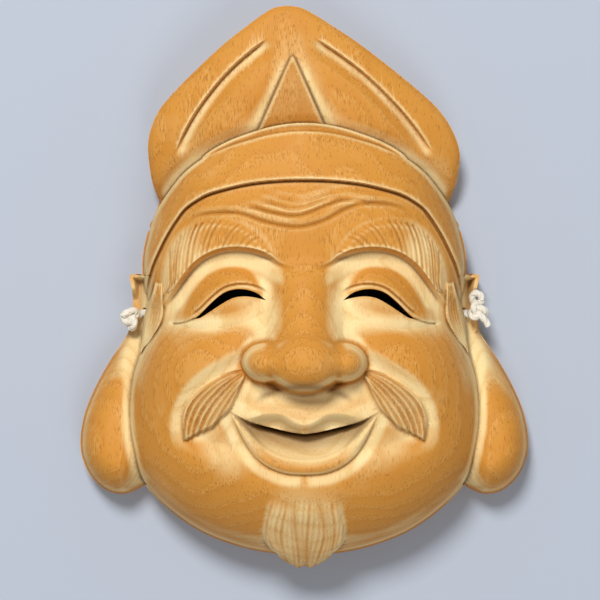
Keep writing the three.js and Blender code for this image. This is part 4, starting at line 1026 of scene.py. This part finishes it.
def grain_group():
    """Flat-sawn wood that grows along Y: pores, rings and soft blotches, from object coordinates."""
    nodes, given, out = new_group("wood_grain", "ShaderNodeTree", [
        ("Pore Width", "NodeSocketFloat", 0.0004), ("Pore Length", "NodeSocketFloat", 0.004),
        ("Ring Width", "NodeSocketFloat", 0.005)], [
        ("Pores", "NodeSocketFloat", None), ("Rings", "NodeSocketFloat", None),
        ("Flecks", "NodeSocketFloat", None),
        ("Blotches", "NodeSocketFloat", None), ("Height", "NodeSocketFloat", None)])
    place = nodes.add("ShaderNodeTexCoord").outputs["Object"]
    across = nodes.math("DIVIDE", 1.0, given.outputs["Pore Width"])
    lengthwise = nodes.math("DIVIDE", 1.0, given.outputs["Pore Length"])
    pore_scale = nodes.add("ShaderNodeCombineXYZ", {"X": across, "Y": lengthwise, "Z": across})
    pore_place = nodes.add("ShaderNodeVectorMath", {0: place, 1: pore_scale}, operation="MULTIPLY")
    pore_noise = nodes.add("ShaderNodeTexNoise", {"Vector": pore_place, "Scale": 0.55, "Detail": 1.0})
    # rings round a heart that lies far behind the mask, swaying along the grain
    stretched = nodes.add("ShaderNodeVectorMath", {0: place, 1: (1, 0.45, 1)}, operation="MULTIPLY")
    sway = nodes.add("ShaderNodeTexNoise", {"Vector": stretched, "Scale": 16.0, "Detail": 2.0})
    from_heart = nodes.add("ShaderNodeVectorMath", {0: place, 1: (0.012, 0, -0.11)}, operation="SUBTRACT")
    flat = nodes.add("ShaderNodeVectorMath", {0: from_heart, 1: (1, 0.12, 1)}, operation="MULTIPLY")
    radius = nodes.add("ShaderNodeVectorMath", {0: flat}, operation="LENGTH").outputs["Value"]
    radius = nodes.math("ADD", radius, nodes.math("MULTIPLY", sway, 0.034))
    radius = nodes.math("ADD", radius, nodes.math("MULTIPLY", pore_noise, 0.0022))
    rings = nodes.math("FRACT", nodes.math("DIVIDE", radius, given.outputs["Ring Width"]))
    crowded = nodes.span(rings, 0.0, 0.8, 0.55, 0.62)
    pores = nodes.add("ShaderNodeMapRange", {
        "Value": pore_noise, "From Min": crowded, "From Max": nodes.math("ADD", crowded, 0.1)},
        interpolation_type="SMOOTHSTEP").outputs["Result"]
    flecks = nodes.math("MULTIPLY", nodes.span(pore_noise, 0.5, 0.36), nodes.span(rings, 0.5, 0.05))
    blotches = nodes.add("ShaderNodeTexNoise", {"Vector": place, "Scale": 30.0, "Detail": 3.0})
    grit = nodes.add("ShaderNodeTexNoise", {"Vector": place, "Scale": 900.0, "Detail": 2.0})
    height = nodes.math("SUBTRACT", nodes.math("MULTIPLY", grit, 0.25), pores)
    nodes.set(out, "Pores", pores)
    nodes.set(out, "Rings", rings)
    nodes.set(out, "Flecks", flecks)
    nodes.set(out, "Blotches", blotches.outputs[0])
    nodes.set(out, "Height", height)
    return nodes.tree


def new_material(name):
    material = bpy.data.materials.new(name)
    material.use_nodes = True
    nodes = Nodes(material.node_tree)
    return material, nodes, material.node_tree.nodes["Principled BSDF"]


def wood_material(look):
    """Golden stain on what stands out, pale bare wood in the hollows, brown in the cuts partly as stain and
    partly as painted shade, and brown painted shade in the mouth, under the nose and the lip's bow and on
    the crown's triangle.
    """
    material, nodes, surface = new_material("carved_wood")
    grain = nodes.add("ShaderNodeGroup", node_tree=grain_group())
    for label, value in (("Pore Width", look.pore_width), ("Pore Length", look.pore_length),
                         ("Ring Width", look.ring_width)):
        nodes.set(grain, label, value)
    pale, stain_and_shade, worn = (nodes.add("ShaderNodeAttribute", attribute_name=name).outputs["Fac"]
                        for name in ("pale", "stain_and_shade", "worn"))
    uneven = nodes.span(grain.outputs["Blotches"], 0.3, 0.7, -0.24, 0.08)
    pale = nodes.math("ADD", pale, uneven, clamp=True)
    pale = nodes.math("MAXIMUM", pale, nodes.math("MULTIPLY", worn, 0.75))
    late = nodes.span(grain.outputs["Rings"], 0.55, 1.0)
    gold = nodes.blend(late, (*look.gold, 1), (*look.gold_deep, 1))
    bare = nodes.blend(late, (*look.cream, 1), (*look.cream_deep, 1))
    colour = nodes.blend(pale, gold, bare)
    colour = nodes.blend(nodes.math("MULTIPLY", grain.outputs["Flecks"], 0.13), colour, (*look.cream, 1))
    pore_share = nodes.math("MULTIPLY", grain.outputs["Pores"], nodes.span(pale, 0, 1, 0.34, 0.1))
    colour = nodes.blend(pore_share, colour, (*look.brown, 1))
    # the dark mask blends towards brown: stain and painted shade in the cuts, and painted shade in the
    # mouth, under the nose and the lip's bow and on the crown's triangle
    colour = nodes.blend(nodes.math("MULTIPLY", stain_and_shade, 0.75), colour, (*look.brown, 1))
    nodes.set(surface, "Base Color", colour)
    nodes.set(surface, "Roughness", nodes.span(pale, 0, 1, look.roughness, look.roughness + 0.12))
    bump = nodes.add("ShaderNodeBump", {"Height": grain.outputs["Height"], "Strength": 0.35,
                                        "Distance": 0.00012})
    nodes.set(surface, "Normal", bump)
    surface.inputs["Specular IOR Level"].default_value = 0.16
    return material


def cotton_material(colour):
    material, nodes, surface = new_material("cotton")
    place = nodes.add("ShaderNodeTexCoord").outputs["Object"]
    fibres = nodes.add("ShaderNodeTexNoise", {"Vector": place, "Scale": 1800.0, "Detail": 3.0})
    soil = nodes.add("ShaderNodeTexNoise", {"Vector": place, "Scale": 160.0, "Detail": 2.0})
    shaded = nodes.blend(nodes.span(soil, 0.3, 0.75, 0, 0.45), (*colour, 1), (0.66, 0.59, 0.47, 1))
    shaded = nodes.blend(nodes.span(fibres, 0.35, 0.7, 0, 0.35), shaded, (0.55, 0.5, 0.42, 1))
    nodes.set(surface, "Base Color", shaded)
    nodes.set(surface, "Roughness", nodes.span(fibres, 0.3, 0.7, 0.8, 0.95))
    bump = nodes.add("ShaderNodeBump", {"Height": fibres, "Strength": 0.6, "Distance": 0.0002})
    nodes.set(surface, "Normal", bump)
    surface.inputs["Sheen Weight"].default_value = 0.25
    surface.inputs["Specular IOR Level"].default_value = 0.2
    return material


def twisted_cord_tree():
    """Geometry nodes: a lobed section follows the curve and turns with its length."""
    nodes, given, out = new_group("twisted_cord", "GeometryNodeTree", [
        ("Geometry", "NodeSocketGeometry", None), ("Diameter", "NodeSocketFloat", 0.0045),
        ("Turn Length", "NodeSocketFloat", 0.012), ("Strands", "NodeSocketInt", 3),
        ("Step", "NodeSocketFloat", 0.0009), ("Material", "NodeSocketMaterial", None)],
        [("Geometry", "NodeSocketGeometry", None)])
    line = nodes.add("GeometryNodeResampleCurve", {
        "Curve": given.outputs["Geometry"], "Length": given.outputs["Step"]}, mode="LENGTH")
    run = nodes.add("GeometryNodeSplineParameter").outputs["Length"]
    turns = nodes.math("DIVIDE", run, given.outputs["Turn Length"])
    tilted = nodes.add("GeometryNodeSetCurveTilt", {
        "Curve": line, "Tilt": nodes.math("MULTIPLY", turns, 2 * math.pi)})
    circle = nodes.add("GeometryNodeCurvePrimitiveCircle", {"Resolution": 27, "Radius": 0.5})
    section = nodes.add("ShaderNodeSeparateXYZ", {0: nodes.add("GeometryNodeInputPosition")})
    angle = nodes.math("ARCTAN2", section.outputs["Y"], section.outputs["X"])
    half_strands = nodes.math("MULTIPLY", given.outputs["Strands"], 0.5)
    lobes = nodes.math("ABSOLUTE", nodes.math("COSINE", nodes.math("MULTIPLY", angle, half_strands)))
    shape = nodes.math("ADD", nodes.math("MULTIPLY", nodes.math("POWER", lobes, 0.7), 0.24), 0.76)
    size = nodes.math("MULTIPLY", shape, given.outputs["Diameter"])
    place = nodes.add("ShaderNodeVectorMath", {0: nodes.add("GeometryNodeInputPosition"), 3: size},
                      operation="SCALE")
    profile = nodes.add("GeometryNodeSetPosition", {"Geometry": circle, "Position": place.outputs[0]})
    tube = nodes.add("GeometryNodeCurveToMesh", {
        "Curve": tilted, "Profile Curve": profile, "Fill Caps": True})
    smooth = nodes.add("GeometryNodeSetShadeSmooth", {"Geometry": tube})
    real = nodes.add("GeometryNodeRealizeInstances", {"Geometry": smooth})
    painted = nodes.add("GeometryNodeSetMaterial", {
        "Geometry": real, "Material": given.outputs["Material"]})
    nodes.set(out, "Geometry", painted)
    return nodes.tree


def smooth_path(points, steps=12):
    """Points along a smooth curve through a few 3D points, as an array."""
    p = np.array(points, float)
    out = []
    for i in range(len(p) - 1):
        before, a, b, after = p[max(i - 1, 0)], p[i], p[i + 1], p[min(i + 2, len(p) - 1)]
        leave, arrive = (b - before) / 2, (after - a) / 2
        for t in np.arange(steps) / steps:
            out.append((2 * a - 2 * b + leave + arrive) * t ** 3
                       + (-3 * a + 3 * b - 2 * leave - arrive) * t * t + leave * t + a)
    return np.array([*out, p[-1]])


def twisted_piece(name, routes, diameter, turn_length, material):
    """One mesh of twisted cord along each route, made by the geometry nodes."""
    curve = bpy.data.curves.new(name, "CURVE")
    curve.dimensions = "3D"
    for route in routes:
        spline = curve.splines.new("POLY")
        spline.points.add(len(route) - 1)
        for point, place in zip(spline.points, route):
            point.co = (*(place * MM), 1)
    piece = bpy.data.objects.new(name, curve)
    bpy.context.collection.objects.link(piece)
    tree = bpy.data.node_groups.get("twisted_cord") or twisted_cord_tree()
    modifier = piece.modifiers.new("twist", "NODES")
    modifier.node_group = tree
    values = {"Diameter": diameter * MM, "Turn Length": turn_length * MM, "Material": material}
    for item in tree.interface.items_tree:
        if item.in_out == "INPUT" and item.name in values:
            modifier[item.identifier] = values[item.name]
    return baked(piece)


def knot_route(centre, size, turn):
    """The line of an overhand knot, drawn tight round a centre."""
    t = np.linspace(0.25, 2 * np.pi - 0.1, 90)
    loop = np.column_stack([np.sin(t) + 2 * np.sin(2 * t), np.cos(t) - 2 * np.cos(2 * t), -np.sin(3 * t)])
    spin = np.array(Matrix.Rotation(math.radians(turn), 3, "Z"))
    return (loop @ spin.T) * size + centre


LEFT_KNOT = {"centre": (-93.2, -16.6, 24.6), "size": (1.25, 1.75, 1.7), "turn": 20}
RIGHT_KNOT = {"centre": (92.9, -12.6, 24.4), "size": (1.4, 1.4, 1.8), "turn": 75}
RIGHT_LOOP = [(91.4, -9.2, 22.5), (89.9, -5.4, 23.6), (91.6, -2.9, 25), (94.4, -4.4, 25.4),
              (94.8, -7.6, 24.4), (92.4, -8.9, 26)]
LEFT_END = [(-92.6, -12.5, 26.6), (-95.4, -13.6, 27.4), (-97.2, -15.4, 27.2)]
RIGHT_END = [(93.4, -14.8, 26.4), (95.6, -16.4, 26.4), (97.4, -18.6, 25.8), (98.6, -20.6, 25.4)]


# Settings of the panel


class MaskCarving(bpy.types.PropertyGroup):
    cells: IntProperty(
        name="Cells", description="Cells across the carved front before it is thinned out",
        default=700, min=50, max=1200)
    triangles: IntProperty(
        name="Triangles", description="Triangles of the finished mask", default=190000,
        min=5000, max=198000)
    crease: FloatProperty(
        name="Crease", description="Edges bent more than this stay sharp", default=math.radians(42),
        subtype="ANGLE", unit="ROTATION")


class MaskWood(bpy.types.PropertyGroup):
    gold: FloatVectorProperty(
        name="Golden", description="Stained wood on what stands out", subtype="COLOR",
        size=3, min=0, max=1, default=(0.595, 0.256, 0.0395))
    gold_deep: FloatVectorProperty(
        name="Deep golden", description="Late growth of each ring in the stained wood", subtype="COLOR",
        size=3, min=0, max=1, default=(0.57, 0.238, 0.0355))
    cream: FloatVectorProperty(
        name="Cream", description="Bare wood in the hollows", subtype="COLOR",
        size=3, min=0, max=1, default=(0.84, 0.645, 0.32))
    cream_deep: FloatVectorProperty(
        name="Deep cream", description="Late growth of each ring in the bare wood", subtype="COLOR",
        size=3, min=0, max=1, default=(0.76, 0.54, 0.235))
    # brown is also the colour of the painted shade in the cuts, the mouth, under the nose and the lip's bow
    # and on the crown's triangle
    brown: FloatVectorProperty(
        name="Brown", description="Pores and narrow cuts", subtype="COLOR",
        size=3, min=0, max=1, default=(0.14, 0.048, 0.009))
    roughness: FloatProperty(
        name="Roughness", description="Roughness of the stained wood", default=0.56, min=0, max=1)
    pore_width: FloatProperty(
        name="Pore width", description="Width of the open pores", default=0.00036, unit="LENGTH")
    pore_length: FloatProperty(
        name="Pore length", description="Length of the open pores along the grain", default=0.0024,
        unit="LENGTH")
    ring_width: FloatProperty(
        name="Ring width", description="Growth of the tree in a year", default=0.0052, unit="LENGTH")


class MaskCord(bpy.types.PropertyGroup):
    diameter: FloatProperty(
        name="Diameter", description="Diameter of the cord", default=CORD_DIAMETER * MM, unit="LENGTH")
    turn_length: FloatProperty(
        name="Turn length", description="Length of cord in which its strands go round once",
        default=0.013, unit="LENGTH")
    colour: FloatVectorProperty(
        name="Cotton", description="Colour of the cord", subtype="COLOR", size=3, min=0, max=1,
        default=(0.80, 0.76, 0.66))


class MaskStage(bpy.types.PropertyGroup):
    floor: FloatVectorProperty(
        name="Floor", description="Colour of the floor", subtype="COLOR", size=3, min=0, max=1,
        default=(0.42, 0.46, 0.53))
    key: FloatProperty(
        name="Key light", description="Power of the large light beyond the cap", default=80, min=0,
        subtype="POWER")
    fill: FloatProperty(
        name="Fill light", description="Power of the light over the face", default=17, min=0,
        subtype="POWER")
    sky: FloatProperty(
        name="Sky", description="Strength of the light from all round", default=0.32, min=0)


class MaskSettings(bpy.types.PropertyGroup):
    carving: PointerProperty(type=MaskCarving)
    wood: PointerProperty(type=MaskWood)
    cord: PointerProperty(type=MaskCord)
    stage: PointerProperty(type=MaskStage)


# Operators, one for each piece or group of pieces


class AddCamera(bpy.types.Operator):
    """Add the camera, straight above the mask"""

    bl_idname = "mask.add_camera"
    bl_label = "Camera"

    def execute(self, context):
        lens = bpy.data.cameras.new("camera")
        lens.sensor_width = 36
        lens.lens = lens.sensor_width * (VIEW_HEIGHT - FACE_HEIGHT) / VIEW_WIDTH
        lens.clip_start, lens.clip_end = 0.05, 20
        camera = bpy.data.objects.new("camera", lens)
        camera.location = (VIEW_POINT[0] * MM, VIEW_POINT[1] * MM, VIEW_HEIGHT * MM)
        context.collection.objects.link(camera)
        context.scene.camera = camera
        return {"FINISHED"}


FLOOR_GAP = 0.0002             # metres between the mask's flat back and the floor


class AddStage(bpy.types.Operator):
    """Add the plain floor and the studio lights"""

    bl_idname = "mask.add_stage"
    bl_label = "Floor and lights"

    def light(self, context, name, place, size, power):
        lamp = bpy.data.lights.new(name, "AREA")
        lamp.shape = "DISK"
        lamp.size = size
        lamp.energy = power
        thing = bpy.data.objects.new(name, lamp)
        thing.location = place
        thing.rotation_euler = (-Vector(place)).to_track_quat("-Z", "Y").to_euler()
        context.collection.objects.link(thing)

    def execute(self, context):
        settings = context.scene.mask_settings.stage
        bpy.ops.mesh.primitive_plane_add(size=6, location=(0, 0, -FLOOR_GAP))
        floor = context.object
        floor.name = "floor"
        material, _, surface = new_material("floor")
        surface.inputs["Base Color"].default_value = (*settings.floor, 1)
        surface.inputs["Roughness"].default_value = 0.9
        floor.data.materials.append(material)
        floor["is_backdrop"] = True
        self.light(context, "key", (-0.45, 1.4, 2.6), 0.8, settings.key)
        self.light(context, "fill", (0.5, -1.6, 2.2), 1.4, settings.fill)
        context.scene.view_settings.view_transform = "Standard"
        world = context.scene.world or bpy.data.worlds.new("sky")
        context.scene.world = world
        world.use_nodes = True
        sky = world.node_tree.nodes["Background"]
        sky.inputs["Color"].default_value = (0.95, 0.97, 1, 1)
        sky.inputs["Strength"].default_value = settings.sky
        return {"FINISHED"}


class AddCord(bpy.types.Operator):
    """Add the twisted cotton cord and its two knots"""

    bl_idname = "mask.add_cord"
    bl_label = "Cord and knots"

    def execute(self, context):
        settings = context.scene.mask_settings.cord
        cotton = cotton_material(settings.colour)
        diameter, turn_length = settings.diameter / MM, settings.turn_length / MM
        route = smooth_path(CORD_ROUTE)
        cord = twisted_piece("cotton_cord", [route], diameter, turn_length, cotton)
        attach(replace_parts(cord, "cord"), BODY)
        left = twisted_piece("cotton_knot_left", [knot_route(**LEFT_KNOT), smooth_path(LEFT_END)],
                             0.86 * diameter, 0.8 * turn_length, cotton)
        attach(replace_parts(left, "knot_left"), BODY)
        right = twisted_piece("cotton_knot_right", [
            knot_route(**RIGHT_KNOT), smooth_path(RIGHT_LOOP), smooth_path(RIGHT_END)],
            0.86 * diameter, 0.8 * turn_length, cotton)
        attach(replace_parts(right, "knot_right"), BODY)
        return {"FINISHED"}


class AddMask(bpy.types.Operator):
    """Add the carved mask, hollowed and pierced, with its finish and painted shade"""

    bl_idname = "mask.add_mask"
    bl_label = "Mask"

    def execute(self, context):
        settings = context.scene.mask_settings
        cells = settings.carving.cells
        x, y = OUTLINE.grid(cells)
        z = read_inside(x.ravel(), y.ravel()).reshape(x.shape)
        mask = new_mesh_object("carved_mask", *closed_sheet(x, y, z, 0))
        cut_away(mask, [hollow_cutter(100), scoop_cutter(60), slit_cutter(1), slit_cutter(-1),
                        hole_cutter(1), hole_cutter(-1)])
        relief = Relief()
        masks = finish_and_shade_masks(relief)
        thin_out(mask, settings.carving.triangles, changing_corners(mask, relief, masks))
        mask.data.materials.clear()
        mask.data.materials.append(wood_material(settings.wood))
        add_finish_and_shade_masks(mask, relief, masks)
        mask.data.shade_smooth()
        mask.data.set_sharp_from_angle(angle=settings.carving.crease)
        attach(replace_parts(mask, "mask"), BODY)
        return {"FINISHED"}


class MaskPanel(bpy.types.Panel):
    """Sizes and colours of the mask, and a button for each piece"""

    bl_idname = "VIEW3D_PT_carved_mask"
    bl_label = "Carved mask"
    bl_space_type = "VIEW_3D"
    bl_region_type = "UI"
    bl_category = "Mask"

    def draw(self, context):
        settings = context.scene.mask_settings
        for group, operators in ((settings.stage, (AddCamera, AddStage)), (settings.cord, (AddCord,)),
                                 (settings.carving, (AddMask,)), (settings.wood, ())):
            box = self.layout.box()
            for name in group.__annotations__:
                box.prop(group, name)
            for operator in operators:
                box.operator(operator.bl_idname)


CLASSES = (MaskCarving, MaskWood, MaskCord, MaskStage, MaskSettings, AddCamera, AddStage, AddCord,
           AddMask, MaskPanel)


def register():
    for item in CLASSES:
        bpy.utils.register_class(item)
    bpy.types.Scene.mask_settings = PointerProperty(type=MaskSettings)


def unregister():
    del bpy.types.Scene.mask_settings
    for item in reversed(CLASSES):
        bpy.utils.unregister_class(item)


def main():
    register()
    bpy.ops.mask.add_camera()
    bpy.ops.mask.add_stage()
    bpy.ops.mask.add_cord()
    bpy.ops.mask.add_mask()
    boxes = {"cad": CAD_BOX, "visual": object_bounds()}
    {name: [list(corner) for corner in box] for name, box in boxes.items()}


if __name__ == "__main__":
    main()
